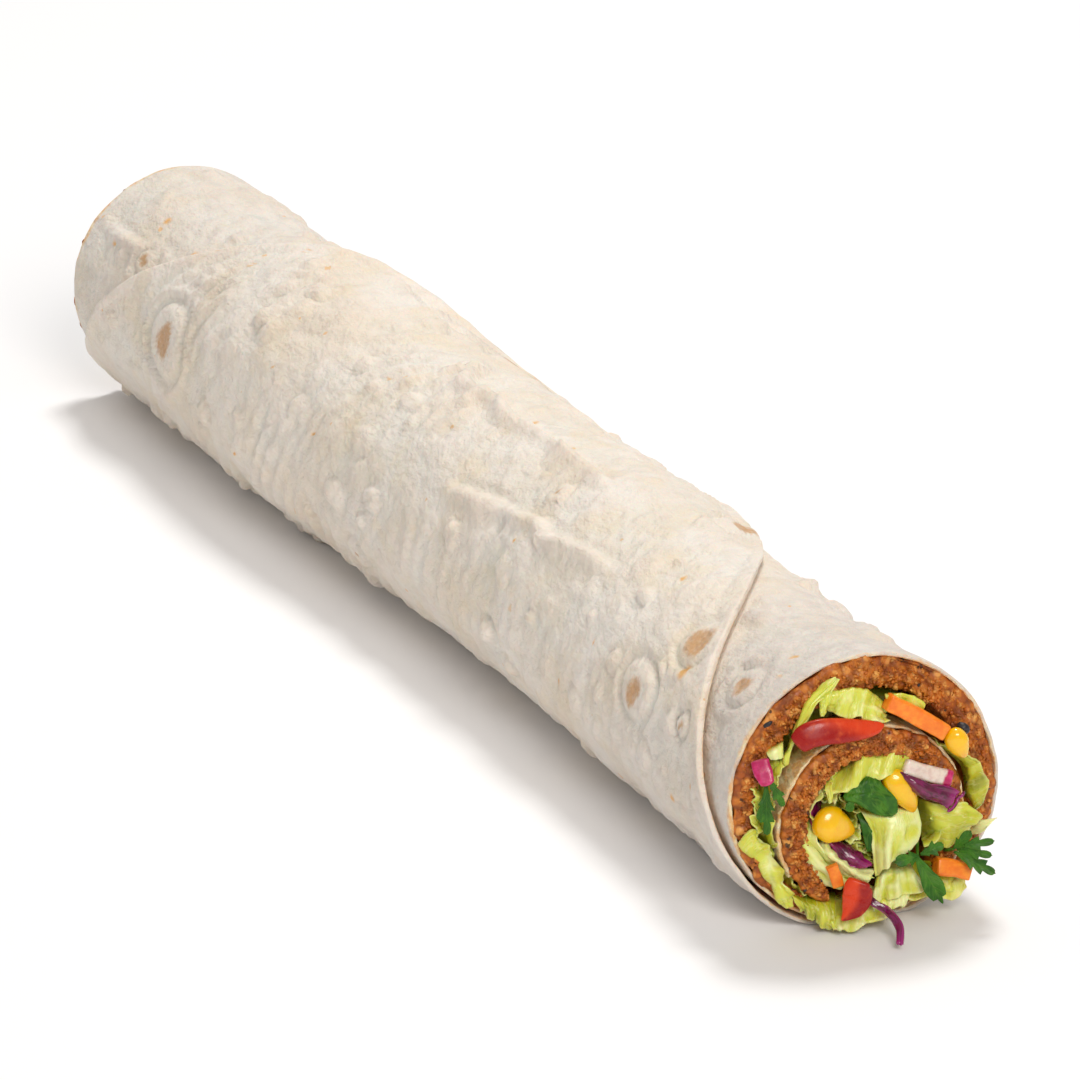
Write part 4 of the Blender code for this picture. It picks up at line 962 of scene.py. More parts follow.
FAR_OUTER_LEAVES = (
    (([(-15, 41.5, -4), (-6, 46, -4), (3, 46.8, -4)], [(-14.6, 41.5, 0), (-6, 46, 0), (3, 46.8, 0)],
      [(-13, 42.6, 0.9), (-5.6, 47.4, 1.1), (3, 48.4, 0.9)]), 0.3, 3.0, 0.5),
    (([(-20.6, 33, -4), (-21.5, 25, -4), (-18.6, 17, -4)],
      [(-20.8, 33, 0), (-21.7, 25, 0), (-18.8, 17, 0)],
      [(-22.4, 33.6, 0.9), (-23.2, 24.6, 1.1), (-20, 15.8, 0.9)]), 0.3, 3.0, 0.65),
)


def heart_core_shape():
    """The salad's core in the middle: a ring about the inner turn's centre, with seven soft folds."""
    ends = np.array((-SALAD_END, -176, -150, -116, -85, -52, -10, 40, 80, 115, 150, 172, SALAD_END - 3,
                     SALAD_END))
    squeeze = np.concatenate([[0.8], np.ones(len(ends) - 2), [0.8]])
    angle = np.linspace(0, 2 * np.pi, 49)[:-1][None]
    radius = (HEART_RADIUS + HEART_DROP * bell(angle, math.radians(280), 0.75)) * squeeze[:, None]
    radius = radius * (0.97 - 0.03 * np.cos(7 * angle + 0.5 * np.arange(len(ends))[:, None]))
    points = place(ends[:, None], INNER_Y + radius * np.cos(angle), INNER_Z + radius * np.sin(angle))
    return core_masks(points)


def fold_core_shape():
    """The salad's core between two turns: a ring of both faces carried along the turns.

    The inner face is where a ray from the outer turn's centre meets the inner turn's circle."""
    turns = np.arange(FOLD_FIRST, FOLD_LAST + 0.1, 7.5)
    run = np.array((-SALAD_END, -160, -116, -85, -52, -10, 40, 80, 115, 150, 172, SALAD_END))
    x = np.concatenate([run, run[::-1]])
    share = np.concatenate([np.zeros(len(run)), np.ones(len(run))])
    angle = np.radians(turns)[:, None]
    outer = RADIUS - LAP - BREAD - paste_depth(turns)[:, None] - 5 * GAP
    rise = INNER_Z - RADIUS + FLAT
    ahead = INNER_Y * np.cos(angle) + rise * np.sin(angle)
    inner = ahead + np.sqrt((INNER_RADIUS + 2 * GAP) ** 2 - INNER_Y ** 2 - rise ** 2 + ahead ** 2)
    radius = outer + (inner - outer) * share
    return core_masks(place(x[None], radius * np.cos(angle), RADIUS - FLAT + radius * np.sin(angle)))


def core_masks(points):
    """A core's shape with the masks of a shaded leaf."""
    flat = np.zeros(points.shape[:2])
    space = np.stack([points[..., 1] * 0.4, points[..., 2] * 0.3, flat], axis=-1)
    return closed_grid(points, {"leaf": space, "tone": flat + 0.05, "edge": flat})


def shreds(draw, count, end):
    """Small leaves that fill the middle: bent strips inside the heart's circle, each with a ruffled edge."""
    shapes = []
    for number in range(count):
        middle = draw.uniform(0, 2 * np.pi)
        far = HEART_RADIUS * math.sqrt(draw.uniform(0.03, 0.8))
        spot = np.array([INNER_Y + far * math.cos(middle), INNER_Z + far * math.sin(middle)])
        heading = draw.uniform(0, np.pi)
        half = draw.uniform(3.2, 6.5)
        share = np.linspace(-1, 1, 4)[:, None]
        line = spot + half * share * [math.cos(heading), math.sin(heading)]
        line += draw.uniform(-2.4, 2.4) * (1 - share ** 2) * [-math.sin(heading), math.cos(heading)]
        away = line - [INNER_Y, INNER_Z]
        distance = np.linalg.norm(away, axis=1, keepdims=True)
        line = [INNER_Y, INNER_Z] + away * np.minimum(1.0, (HEART_RADIUS - 0.4) / np.maximum(distance, 0.1))
        tip = line + draw.uniform(-1.6, 1.6, (4, 2))
        top = draw.uniform(-1.0, 2.6)
        net = [np.column_stack([line, np.full(4, level)]) for level in (-8.0, -4.0)]
        net.append(np.column_stack([tip, top + draw.uniform(-0.8, 0.8, 4)]))
        if end > 0:
            net = [row + row[:, 2:] * [SIGHT_SIDE, -SIGHT_RISE, 0.0] for row in net]
        shapes.append(leaf_shape(net, end, 20, 26, 0.4, draw.uniform(0.35, 0.8), draw.uniform(1.5, 3.5),
                                 draw.uniform(0.1, 0.8), 100 + 40 * (end + 1) + number))
    return shapes


def lettuce_shape(core, near, far, filler):
    """A salad node: its own core, the leaves that show at both ends and the shreds between them."""
    shapes = [core]
    for end, group in ((1, near), (-1, far)):
        for number, (net, ruffle, waves, tone) in enumerate(group):
            shapes.append(leaf_shape(net, end, ruffle=ruffle, waves=waves, tone=tone,
                                     seed=1 + number + 20 * (end < 0)))
        if filler:
            shapes += shreds(np.random.default_rng(41 + end), filler if end > 0 else filler * 2 // 3, end)
    return joined(shapes)


def lettuce_finish(look, groups):
    """Crisp lettuce: pale ribs to yellow-green blades, net veins and greener edges, thin and moist."""
    def build(tree, shader):
        veins = placed(tree, groups["veins"], Vector=attribute(tree, "leaf", "Vector"), Width=0.035)
        patch = noise(tree, object_place(tree), 4.5, 3.0)
        tone = calc(tree, "ADD", attribute(tree, "tone"), calc(tree, "MULTIPLY_ADD", patch, 0.5, -0.25))
        # Painted shade: low tones, as on the cores and leaves deep in the roll, take the dark green.
        colour = mix(tree, steps(tree, tone, 0.0, 0.4), look.painted_shade, look.green)
        colour = mix(tree, steps(tree, tone, 0.3, 0.7), colour, look.yellow)
        colour = mix(tree, steps(tree, tone, 0.68, 1.05), colour, look.pale)
        colour = mix(tree, veins["Mask"], colour, look.pale, 0.3)
        colour = mix(tree, steps(tree, attribute(tree, "edge"), 0.86, 1.0), colour, look.pale, 0.3)
        height = calc(tree, "MULTIPLY_ADD", patch, 0.8, veins["Height"])
        connect(tree, shader, colour, steps(tree, patch, 0.3, 0.7, 0.24, 0.42), height, 0.3, 0.3)

    return finish_of("Lettuce", build, **{"Subsurface Weight": 0.3, "Subsurface Scale": 0.002,
                                          "Coat Weight": 0.15, "Coat Roughness": 0.2})


# The toppings

def loft(line, widths, depths, facing, segments=20, power=2.0, twist=0.0):
    """A profile carried along a line: at each point a rounded shape |y|^p + |z|^p = 1, scaled.

    facing is the direction of the profile's depth. power 2 is an ellipse and 6 a square with
    soft corners, and twist turns the profile about the line, in radians."""
    facing = np.asarray(facing, float)
    ahead = np.gradient(line, axis=0)
    ahead /= np.linalg.norm(ahead, axis=1, keepdims=True)
    side = np.cross(facing, ahead)
    side /= np.linalg.norm(side, axis=1, keepdims=True)
    up = np.cross(ahead, side)
    angle = np.linspace(0, 2 * np.pi, segments + 1)[:-1]
    round_off = (np.abs(np.cos(angle)) ** power + np.abs(np.sin(angle)) ** power) ** (-1.0 / power)
    across = (np.cos(angle) * round_off)[None] * widths[:, None]
    through = (np.sin(angle) * round_off)[None] * depths[:, None]
    turned = twist + np.zeros(len(line))
    across, through = (across * np.cos(turned)[:, None] - through * np.sin(turned)[:, None],
                       across * np.sin(turned)[:, None] + through * np.cos(turned)[:, None])
    points = line[:, None] + side[:, None] * across[..., None] + up[:, None] * through[..., None]
    share = np.linspace(0, 1, len(line))[:, None] + 0 * across
    round_about = np.broadcast_to(np.sin(angle + 0.4)[None], share.shape)
    return closed_grid(points, {"along": share, "round": round_about})


def roughened(shape, size, height, seed):
    """The same shape with its points moved by a soft noise."""
    points = shape["points"]
    push = np.stack([lattice_noise(points, size, seed + k) for k in range(3)], axis=-1)
    return {**shape, "points": points + height * push}


def two_toned(shape, value):
    """The same shape with its mask for skin and flesh set to a value."""
    shape["masks"]["round"] = value.reshape(-1, 1)
    return shape


def pepper_shapes():
    """The pepper pieces: a long slice and a pointed wedge at the near end, and a crescent at the far end."""
    rows, segments = 48, 24
    t = np.linspace(0, 1, rows)
    spin = np.linspace(0, 2 * np.pi, segments + 1)[:-1][None]
    line = curve(at_end([(-14.2, 41.0, 4.6), (-11.8, 42.7, 5.0), (-8.6, 43.2, 5.4), (-4.6, 42.9, 5.6),
                         (-0.8, 42.6, 5.6), (2.6, 42.5, 5.6), (5.2, 42.9, 5.6)]), rows)
    tall = np.interp(t, (0, 0.015, 0.05, 0.12, 0.3, 0.5, 0.7, 0.88, 1),
                     (1.2, 1.9, 2.3, 2.7, 2.85, 2.7, 2.2, 1.4, 0.15))
    deep = np.interp(t, (0, 0.03, 0.5, 0.9, 1), (1.0, 1.5, 1.6, 1.0, 0.15))
    strip = two_toned(loft(line, tall, deep, FORWARD, segments, 4.0),
                      1.5 * t[:, None] - 0.8 + 0.45 * np.cos(spin))
    angle = np.radians(np.linspace(80, 46, rows))
    size = swell(-HALF_LENGTH)
    radius = INNER_RADIUS * size + 2.8
    line = np.stack([-HALF_LENGTH + 1.6 + 0 * angle, size * INNER_Y + radius * np.cos(angle),
                     size * INNER_Z + radius * np.sin(angle)], axis=-1)
    full = np.sin(np.pi * (0.03 + 0.94 * t)) ** 0.62
    far = loft(line, 1.55 * full, 1.5 * full ** 0.8, BACKWARD, segments, 3.4, 0.75)
    line = curve(at_end([(0.2, 8.9, 9.2), (-0.3, 7.3, 9.3), (-0.3, 5.4, 9.4), (-1.1, 3.3, 9.6),
                         (-2.4, 1.6, 9.7), (-3.8, 0.4, 9.8)]), rows)
    wide = np.interp(t, (0, 0.03, 0.12, 0.3, 0.5, 0.7, 0.86, 1), (1.7, 2.3, 2.6, 3.1, 3.1, 2.3, 1.1, 0.15))
    deep = np.interp(t, (0, 0.06, 0.5, 1), (0.6, 1.1, 1.2, 0.3))
    wedge = two_toned(loft(line, wide, deep, FORWARD, segments, 3.6),
                      0.1 - 1.1 * np.cos(spin) + 0 * t[:, None])
    return (("pepper_slice", "pepper_strip", strip), ("pepper_slice_low", "pepper_wedge", wedge),
            ("pepper_slice_far", "pepper_far", far))


def pepper_finish(look, groups):
    """Raw pepper: orange-red flesh on one flank, deep red skin on the other, wet and glossy."""
    def build(tree, shader):
        spot = object_place(tree)
        streak = noise(tree, spot, 1.8, 3.0)
        flank = calc(tree, "MULTIPLY_ADD", noise(tree, spot, 3.0), 0.3, attribute(tree, "round"))
        colour = mix(tree, steps(tree, flank, -0.15, 0.45), look.pepper_skin, look.pepper_flesh)
        colour = mix(tree, steps(tree, streak, 0.5, 0.75), colour, look.pepper_light, 0.4)
        connect(tree, shader, colour, steps(tree, streak, 0.3, 0.7, 0.24, 0.4), noise(tree, spot, 0.7, 3.0),
                0.15, 0.2)

    return finish_of("Red pepper", build, **{"Subsurface Weight": 0.06, "Subsurface Scale": 0.002,
                                             "Coat Weight": 0.08, "Coat Roughness": 0.1,
                                             "Specular IOR Level": 0.35})


# Carrot pieces: name, solid, both ends (y, z, out), width, depth, facing, end of the roll
CARROTS = (
    ("carrot_stick_top", "carrot_top", (5.9, 48.0, 4.6), (18.9, 39.3, 5.2), 3.7, 3.2, (1, 0, 0), 1),
    ("carrot_stick_right", "carrot_right", (17.3, 9.4, 7.6), (24.7, 7.2, 7.6), 3.8, 3.4, FORWARD, 1),
    ("carrot_chip_low", "carrot_chip", (-6.1, 12.9, 6.2), (-4.5, 8.2, 6.2), 2.6, 1.6, FORWARD, 1),
    ("carrot_stick_far", "carrot_far", (3.6, 19.0, -2.2), (7.6, 27.6, -2.2), 3.6, 3.2, BACKWARD, -1),
)
# Kernels: name, solid, centre and tip (y, z, out), length, width and depth, bend, end of the roll
KERNELS = (
    ("corn_kernel_upper", "corn_1", (8.9, 27.2, 4.2), (5.5, 32.4, 3.8), (11.4, 6.6, 5.4), -0.8, 1),
    ("corn_kernel_lower", "corn_2", (-5.4, 22.0, 2.0), (-9.4, 23.8, 1.8), (9.6, 8.4, 5.0), 0.3, 1),
    ("corn_kernel_top", "corn_3", (22.2, 36.4, 5.8), (20.8, 39.4, 5.8), (7.6, 5.4, 4.4), 0.2, 1),
    ("corn_kernel_far_1", "corn_far_1", (-5.0, 25.0, -0.6), (-8.0, 27.5, -0.6), (8.6, 6.6, 4.4), 0.3, -1),
    ("corn_kernel_far_2", "corn_far_2", (-2.4, 19.2, -1.4), (-5.4, 18.8, -1.4), (8.4, 6.0, 4.2), -0.3, -1),
)


def carrot_shapes():
    """The carrot sticks: square profiles with soft corners along slightly bent lines, cut at both ends."""
    t = np.array([0, 0, 0.02, 0.05, *np.linspace(0.12, 0.88, 24), 0.95, 0.98, 1, 1])
    even = np.array([0.5, 0.93, 0.98, 1.0, *np.ones(24), 1.0, 0.98, 0.93, 0.5])
    shapes = []
    for name, node_name, start, end, width, depth, facing, which in CARROTS:
        start, end = at_end([start, end], which)
        line = start + (end - start) * t[:, None]
        line = line + np.array([0.0, 0.0, 1.0]) * (0.25 * np.sin(np.pi * t))[:, None]
        line[0] += (start - end) * 1e-4
        line[-1] += (end - start) * 1e-4
        full = even * (1 + 0.04 * np.sin(9 * t + len(name)))
        shape = loft(line, 0.5 * width * full, 0.5 * depth * full, facing, 32, 11.0)
        shapes.append((name, node_name, roughened(shape, 1.8, 0.09, len(name))))
    return shapes


def carrot_finish(look, groups):
    """Raw carrot: bright orange with darker fibres along the stick and a paler, moist surface."""
    def build(tree, shader):
        spot = object_place(tree)
        fibre = noise(tree, vector_calc(tree, "MULTIPLY", spot, (1.0, 0.25, 0.35)), 0.5, 3.0, 0.6)
        patch = noise(tree, spot, 3.5, 2.0)
        colour = mix(tree, steps(tree, fibre, 0.35, 0.7), look.carrot, look.carrot_light)
        colour = mix(tree, steps(tree, patch, 0.48, 0.7), colour, look.carrot_deep, 0.5)
        connect(tree, shader, colour, steps(tree, patch, 0.3, 0.7, 0.3, 0.45), fibre, 0.25, 0.2)

    return finish_of("Carrot", build, **{"Subsurface Weight": 0.2, "Subsurface Scale": 0.002,
                                         "Coat Weight": 0.15, "Coat Roughness": 0.2})


def corn_shapes():
    """The corn kernels: a full crown that narrows to a tip cap, flattened, with a slight dent and bend."""
    lift = np.linspace(-np.pi / 2, np.pi / 2, 30)
    shapes = []
    for name, node_name, centre, tip, (length, width, depth), bend, which in KERNELS:
        centre, tip = at_end([centre, tip], which)
        axis = (tip - centre) / np.linalg.norm(tip - centre)
        along = 0.5 * length * np.sin(lift)
        facing = FORWARD if which > 0 else np.array(BACKWARD)
        side = np.cross(facing, axis)
        side /= np.linalg.norm(side)
        line = centre + axis * along[:, None] + side * (bend * (1 - (2 * along / length) ** 2))[:, None]
        narrow = 1.0 - 0.42 * (0.5 - along / length) ** 2 * np.where(along < 0, 1.25, 0.7)
        full = np.maximum(np.cos(lift), 0.01) ** 0.88 * narrow
        shape = loft(line, 0.5 * width * full, 0.5 * depth * full ** 1.05, facing, 28, 2.5)
        shapes.append((name, node_name, roughened(shape, 2.6, 0.12, len(name))))
    return shapes


def corn_finish(look, groups):
    """Cooked corn: saturated yellow, deeper at the rim and paler at the tip cap, smooth and glossy."""
    def build(tree, shader):
        spot = object_place(tree)
        patch = steps(tree, noise(tree, spot, 3.0), 0.45, 0.7)
        colour = mix(tree, steps(tree, attribute(tree, "along"), 0.0, 0.5), look.corn_deep, look.corn)
        colour = mix(tree, patch, colour, look.corn_light, 0.4)
        connect(tree, shader, colour, None, noise(tree, spot, 1.6, 1.0), 0.06, 0.2)

    return finish_of("Corn", build, **{"Roughness": 0.18, "Subsurface Weight": 0.25,
                                       "Subsurface Scale": 0.003, "Coat Weight": 0.35,
                                       "Coat Roughness": 0.06})


def shred_shape(net, end, thickness, seed, rows=30, columns=14, ruffle=0.25):
    """A cut strip of leaf through a net of places, of even thickness."""
    return leaf_shape(net, end, rows, columns, thickness, ruffle, 1.5, 0.5, seed)


def cabbage_shapes():
    """The red cabbage shreds: thick glossy strips through nets of places."""
    right = shred_shape(([(6.6, 33.2, 2.4), (7, 32, 2.2), (7.2, 30.8, 1.8)],
                         [(10.4, 31.2, 6), (11.2, 29.4, 7), (11.8, 27, 6)],
                         [(15, 28.6, 7), (15.6, 26.6, 8), (15.4, 24.6, 7)],
                         [(19.6, 27.2, 7.2), (19.4, 24.8, 8), (18.6, 23, 7.2)],
                         [(22.6, 25.6, 7.6), (21.4, 24, 8.2), (19.8, 21.9, 7.8)]), 1, 0.8, 61)
    lip = shred_shape(([(23.6, 25.5, 7.4), (23.2, 24.9, 8)], [(22, 23.8, 8), (21.4, 23, 8.4)],
                       [(20.4, 21.9, 8), (19.6, 21.2, 8.2)]), 1, 0.7, 62, 16, 6, 0.1)
    left = shred_shape(([(-11.4, 30.2, -1.4), (-9.8, 29.4, -1.2), (-8.6, 27.8, -2)],
                        [(-11.3, 26.6, -0.6), (-9.6, 25.6, -1.6), (-8.6, 24.6, -3)],
                        [(-10.2, 22.4, 0.4), (-8.4, 21.6, -0.8), (-6.8, 20.6, -2.6)],
                        [(-7.8, 19.2, 1.4), (-5.4, 18.2, 0.8), (-3.4, 17.4, -1)],
                        [(-5, 15.2, 2.6), (-2.8, 15, 2.8), (-0.6, 15.6, 1.6)],
                        [(-2.8, 12.6, 3.4), (-0.6, 12.6, 4), (1.6, 13.6, 3.2)],
                        [(-0.6, 11.4, 4), (1, 11.6, 4.2), (3, 11.7, 3.6)]), 1, 0.9, 63, 44)
    strand = shred_shape(([(1.6, 4.6, 7), (2.8, 5, 7)], [(2.6, 3, 9.2), (4, 3.8, 9.2)],
                          [(6, 0.4, 11.6), (7, 1.6, 11.6)], [(8.2, -3, 15.4), (9.8, -2.6, 15.6)],
                          [(8.5, -6.8, 19.4), (9.6, -7, 20.2)]), 1, 0.8, 64, 36, 10, 0.15)
    far = shred_shape(([(-4, 31.6, 0.4), (-2.2, 31.4, 1)], [(0.8, 27, 1.4), (2.8, 26.4, 1.9)],
                       [(1.6, 20.4, 1), (4, 19.8, 1.6)]), -1, 0.8, 65, 30, 10)
    return (("cabbage_shred_right", "red_cabbage_right", joined([right, lip])),
            ("cabbage_shred_left", "red_cabbage_left", left),
            ("cabbage_strand", "red_cabbage_strand", strand),
            ("cabbage_shred_far", "red_cabbage_far", far))


def cabbage_finish(look, groups):
    """Red cabbage: deep purple skin with lighter veins, magenta along the cut edges, glossy."""
    def build(tree, shader):
        veins = placed(tree, groups["veins"], Vector=attribute(tree, "leaf", "Vector"), Width=0.04)
        patch = steps(tree, noise(tree, object_place(tree), 2.6, 3.0), 0.35, 0.7)
        colour = mix(tree, patch, look.cabbage, look.cabbage_light)
        colour = mix(tree, veins["Mask"], colour, look.cabbage_edge, 0.3)
        colour = mix(tree, steps(tree, attribute(tree, "edge"), 0.7, 1.0), colour, look.cabbage_edge, 0.7)
        connect(tree, shader, colour, None, veins["Height"], 0.25, 0.25)

    return finish_of("Red cabbage", build, **{"Roughness": 0.22, "Subsurface Weight": 0.1,
                                              "Subsurface Scale": 0.001, "Coat Weight": 0.4,
                                              "Coat Roughness": 0.08})


def radish_shapes():
    """The radish: a white slice with a pink end, and a magenta chip of skin, as soft square profiles."""
    t = np.linspace(0, 1, 30)
    line = curve(at_end([(9.9, 33.0, 4.8), (13, 31.6, 5.2), (17, 30, 5.4), (20.6, 28.6, 5.4)]), 30)
    full = np.interp(t, (0, 0.03, 0.1, 0.9, 0.97, 1), (0.5, 0.9, 1, 1, 0.92, 0.5))
    piece = loft(line, 1.75 * full, 1.1 * full, FORWARD, 28, 5.0)
    line = curve(at_end([(-22.4, 38.9, 2.4), (-21.9, 36.9, 3.6), (-21.2, 34.9, 4.8), (-20.5, 33.0, 5.8)]), 30)
    full = np.interp(t, (0, 0.05, 0.5, 0.9, 1), (0.6, 0.95, 1.0, 0.72, 0.25))
    chip = loft(line, 2.0 * full, 0.75 * full, FORWARD, 24, 4.0)
    return (("radish_slice_white", "radish_slice", roughened(piece, 2.2, 0.12, 71), "radish"),
            ("radish_chip_skin", "radish_chip", roughened(chip, 2.2, 0.12, 72), "radish_skin"))


def radish_finish(look, name, skin_from, skin_to):
    """Raw radish: translucent white flesh that turns to magenta skin along the piece, moist."""
    def build(tree, shader):
        spot = object_place(tree)
        edge = calc(tree, "MULTIPLY_ADD", noise(tree, spot, 1.8, 2.0), 0.12, attribute(tree, "along"))
        flesh = mix(tree, steps(tree, noise(tree, spot, 1.2, 3.0), 0.35, 0.7), look.radish,
                    look.radish_shade)
        skin = mix(tree, steps(tree, noise(tree, spot, 1.5, 2.0), 0.4, 0.75), look.radish_skin,
                   look.radish_pink)
        colour = mix(tree, steps(tree, edge, skin_from, skin_to), flesh, skin)
        connect(tree, shader, colour, None, noise(tree, spot, 0.6, 2.0), 0.15, 0.2)

    return finish_of(name, build, **{"Roughness": 0.28, "Subsurface Weight": 0.25, "Subsurface Scale": 0.003,
                                     "Coat Weight": 0.25, "Coat Roughness": 0.12})


def lobe_shape(base, tip, width, teeth, end, seed, bend=0.8, pointed=0.75):
    """A toothed lobe of a herb leaf: a blade about its rib, a wedge that closes by (1 - t^3)^pointed.

    Its half width is cut by teeth that point forward, a sawtooth of t, and the blade is folded a
    little along its rib and bent back towards its tip."""
    base, tip = at_end([base, tip], end)
    rows, columns = 40, 17
    t = np.linspace(0, 1, rows)
    ahead = tip - base
    facing = FORWARD if end > 0 else np.array(BACKWARD)
    side = np.cross(facing, ahead)
    side /= np.linalg.norm(side)
    up = np.cross(ahead / np.linalg.norm(ahead), side)
    swell_out = (0.12 + 0.88 * smooth(0.0, 0.62, t)) * (1 - t ** 3) ** pointed
    tooth = 1.0 - 0.62 * (1.0 - (teeth * t + 0.15) % 1.0) * smooth(0.15, 0.4, t)
    half = 0.5 * width * swell_out * tooth + 0.06
    across = np.linspace(-1, 1, columns)
    line = base + ahead * t[:, None] + up * (bend * np.sin(np.pi * t) * 0.8)[:, None]
    middle = line[:, None] + side * (half[:, None] * across)[..., None]
    lean = ahead * (0.10 * np.abs(across)[None] * half[:, None] / max(width, 1e-3))[..., None]
    middle = middle + lean + up * (0.35 * np.abs(across)[None] * half[:, None] * 0.6)[..., None]
    middle = middle + up * (0.22 * lattice_noise(middle, 2.2, seed))[..., None]
    u = np.broadcast_to(across[None] * 0.5 + 0.5, middle.shape[:2])
    v = np.broadcast_to(t[:, None], middle.shape[:2])
    rib = 1.0 - np.abs(across)[None] + 0 * v
    slanted = v * 14.0 - np.abs(u - 0.5) * 7.0
    masks = {"leaf": np.stack([slanted, u * 4.0, 0 * u + seed], axis=-1), "tone": 0.5 + 0 * u, "edge": rib}
    return thin_solid(middle, 0.32, masks)


def stalk_shape(points, width, end, seed):
    """A thin round stalk along a smooth line of places."""
    line = curve(at_end(points, end), 18)
    full = np.interp(np.linspace(0, 1, 18), (0, 0.05, 0.9, 1), (0.4, 1, 0.8, 0.3))
    shape = loft(line, 0.5 * width * full, 0.5 * width * full, FORWARD, 8)
    flat = np.zeros((len(shape["points"]), 1))
    shape["masks"] = {"leaf": np.zeros((len(flat), 3)) + seed, "tone": flat + 0.9, "edge": flat + 1.0}
    return shape


def herb_shapes():
    """The parsley leaves: lobes about a stalk that runs back into the salad, and one smooth green leaf."""
    right = [lobe_shape((21.2, 13.2, 7.6), (30.4, 13.4, 11.6), 3.6, 3, 1, 81),
             lobe_shape((22, 12.6, 7.8), (29.9, 10.2, 12.2), 3.6, 3, 1, 82),
             lobe_shape((21.4, 12.2, 7.8), (30.7, 6.0, 13), 4.6, 4, 1, 83),
             lobe_shape((21.4, 12.8, 7.4), (25.2, 16.4, 9.6), 3.8, 2, 1, 84),
             stalk_shape([(19, 12.8, 1), (20, 12.6, 5.4), (21.6, 12.8, 7.6)], 0.8, 1, 5)]
    low = [lobe_shape((12.6, 12.8, 7.8), (19, 0.9, 11.2), 6.2, 1, 1, 85, pointed=0.8),
           lobe_shape((13.6, 12.4, 7.8), (7.9, 11.7, 8.6), 4.8, 2, 1, 86),
           lobe_shape((13.8, 12.6, 7.6), (19, 14.2, 8.8), 4.2, 3, 1, 87),
           stalk_shape([(13.4, 16, 0), (13.2, 14.4, 4.6), (13.2, 12.6, 7.8)], 0.8, 1, 6)]
    left = [lobe_shape((-20.4, 34.6, 3.6), (-17, 27.8, 5.2), 3.2, 3, 1, 88),
            lobe_shape((-21, 33.6, 3.6), (-20.6, 21.8, 4.8), 4.2, 4, 1, 89),
            lobe_shape((-21.2, 31.4, 3.8), (-22.6, 25.4, 4.2), 2.4, 2, 1, 90),
            stalk_shape([(-20, 36, -2), (-20.3, 35.4, 1.4), (-20.6, 34, 3.7)], 0.7, 1, 7)]
    middle = [leaf_shape(([(0.5, 32.6, -1), (2.2, 32.8, -1), (3.8, 32.4, -1)],
                          [(-1.6, 30.8, 3.6), (1.6, 31.2, 4.8), (4.2, 30.8, 4.2)],
                          [(-3.6, 28.2, 4.4), (1.4, 28.4, 6), (6.2, 28.2, 5.2)],
                          [(-1.8, 26.4, 5), (2.6, 26.4, 6.2), (8.3, 25.6, 5.6)],
                          [(4.4, 23.4, 5), (6.2, 22, 5.6), (8.2, 22.8, 5.4)]), 1, 34, 30, 0.36, 0.2,
                         1.5, 0.5, 91),
              lobe_shape((-1.6, 28.6, 4.2), (-2.4, 24.4, 4.8), 3.4, 2, 1, 92),
              leaf_shape(([(-1, 25, 0), (1.6, 24.4, 0)], [(0.4, 21, 1.6), (2.8, 20.6, 2.4)],
                          [(1.2, 17.6, 2.4), (3.5, 18, 3)], [(2, 14.8, 3), (3.1, 14.8, 3.4)]), 1, 24, 12,
                         0.34, 0.1, 1.0, 0.2, 93)]
    return (("parsley_leaf_right", "parsley_right", joined(right)),
            ("parsley_leaf_low", "parsley_low", joined(low)),
            ("parsley_leaf_left", "parsley_left", joined(left)),
            ("green_leaf", "green_leaf_middle", joined(middle)))


def herb_finish(look, groups):
    """Flat parsley: dark green blades with lighter ribs and side veins, a soft waxy gloss."""
    def build(tree, shader):
        veins = placed(tree, groups["veins"], Vector=attribute(tree, "leaf", "Vector"), Width=0.05)
        patch = steps(tree, noise(tree, object_place(tree), 3.0, 3.0), 0.35, 0.7)
        colour = mix(tree, patch, look.herb, look.herb_light)
        colour = mix(tree, veins["Mask"], colour, look.herb_vein, 0.35)
        colour = mix(tree, steps(tree, attribute(tree, "edge"), 0.9, 1.0), colour, look.herb_vein, 0.3)
        connect(tree, shader, colour, None, veins["Height"], 0.4, 0.25)

    return finish_of("Parsley", build, **{"Roughness": 0.42, "Subsurface Weight": 0.1,
                                          "Subsurface Scale": 0.001, "Specular IOR Level": 0.3})


# Crumbs: a charred seed, dark flecks and an orange flake: place (y, z, out), length, width
SEEDS = (
    (23.2, 39.6, 3.6, 3.0, 2.3), (-20.6, 46.6, 0.9, 2.2, 1.0), (-6.6, 55.0, 0.8, 2.0, 0.9),
    (-22.2, 12.0, 0.9, 1.3, 0.8), (-12.0, 8.3, 3.2, 1.2, 0.8), (-8.5, 9.9, 3.4, 1.2, 0.8),
    (-7.6, 5.4, 3.4, 1.3, 0.9), (-26.4, 29.0, 0.8, 1.0, 0.7), (-15.3, 29.2, 3.0, 0.9, 0.7),
    (13.0, 50.6, 0.9, 0.8, 0.6), (24.6, 27.0, 1.0, 0.8, 0.6),
)


def seed_shapes():
    """Charred seeds in the paste: small flattened ovals with a rough skin."""
    shapes = []
    for number, (y, z, out, length, width) in enumerate(SEEDS):
        centre = at_end((y, z, out))
        heading = 0.7 + 1.9 * number
        axis = np.cross(FORWARD, (0.0, math.sin(heading), math.cos(heading)))
        axis /= np.linalg.norm(axis)
        lift = np.linspace(-np.pi / 2, np.pi / 2, 14)
        full = np.maximum(np.cos(lift), 0.02)
        line = centre + axis * (0.5 * length * np.sin(lift))[:, None]
        shape = loft(line, 0.5 * width * full, 0.4 * width * full, FORWARD, 14)
        shapes.append(roughened(shape, 0.7, 0.12, 300 + number))
    return joined(shapes)


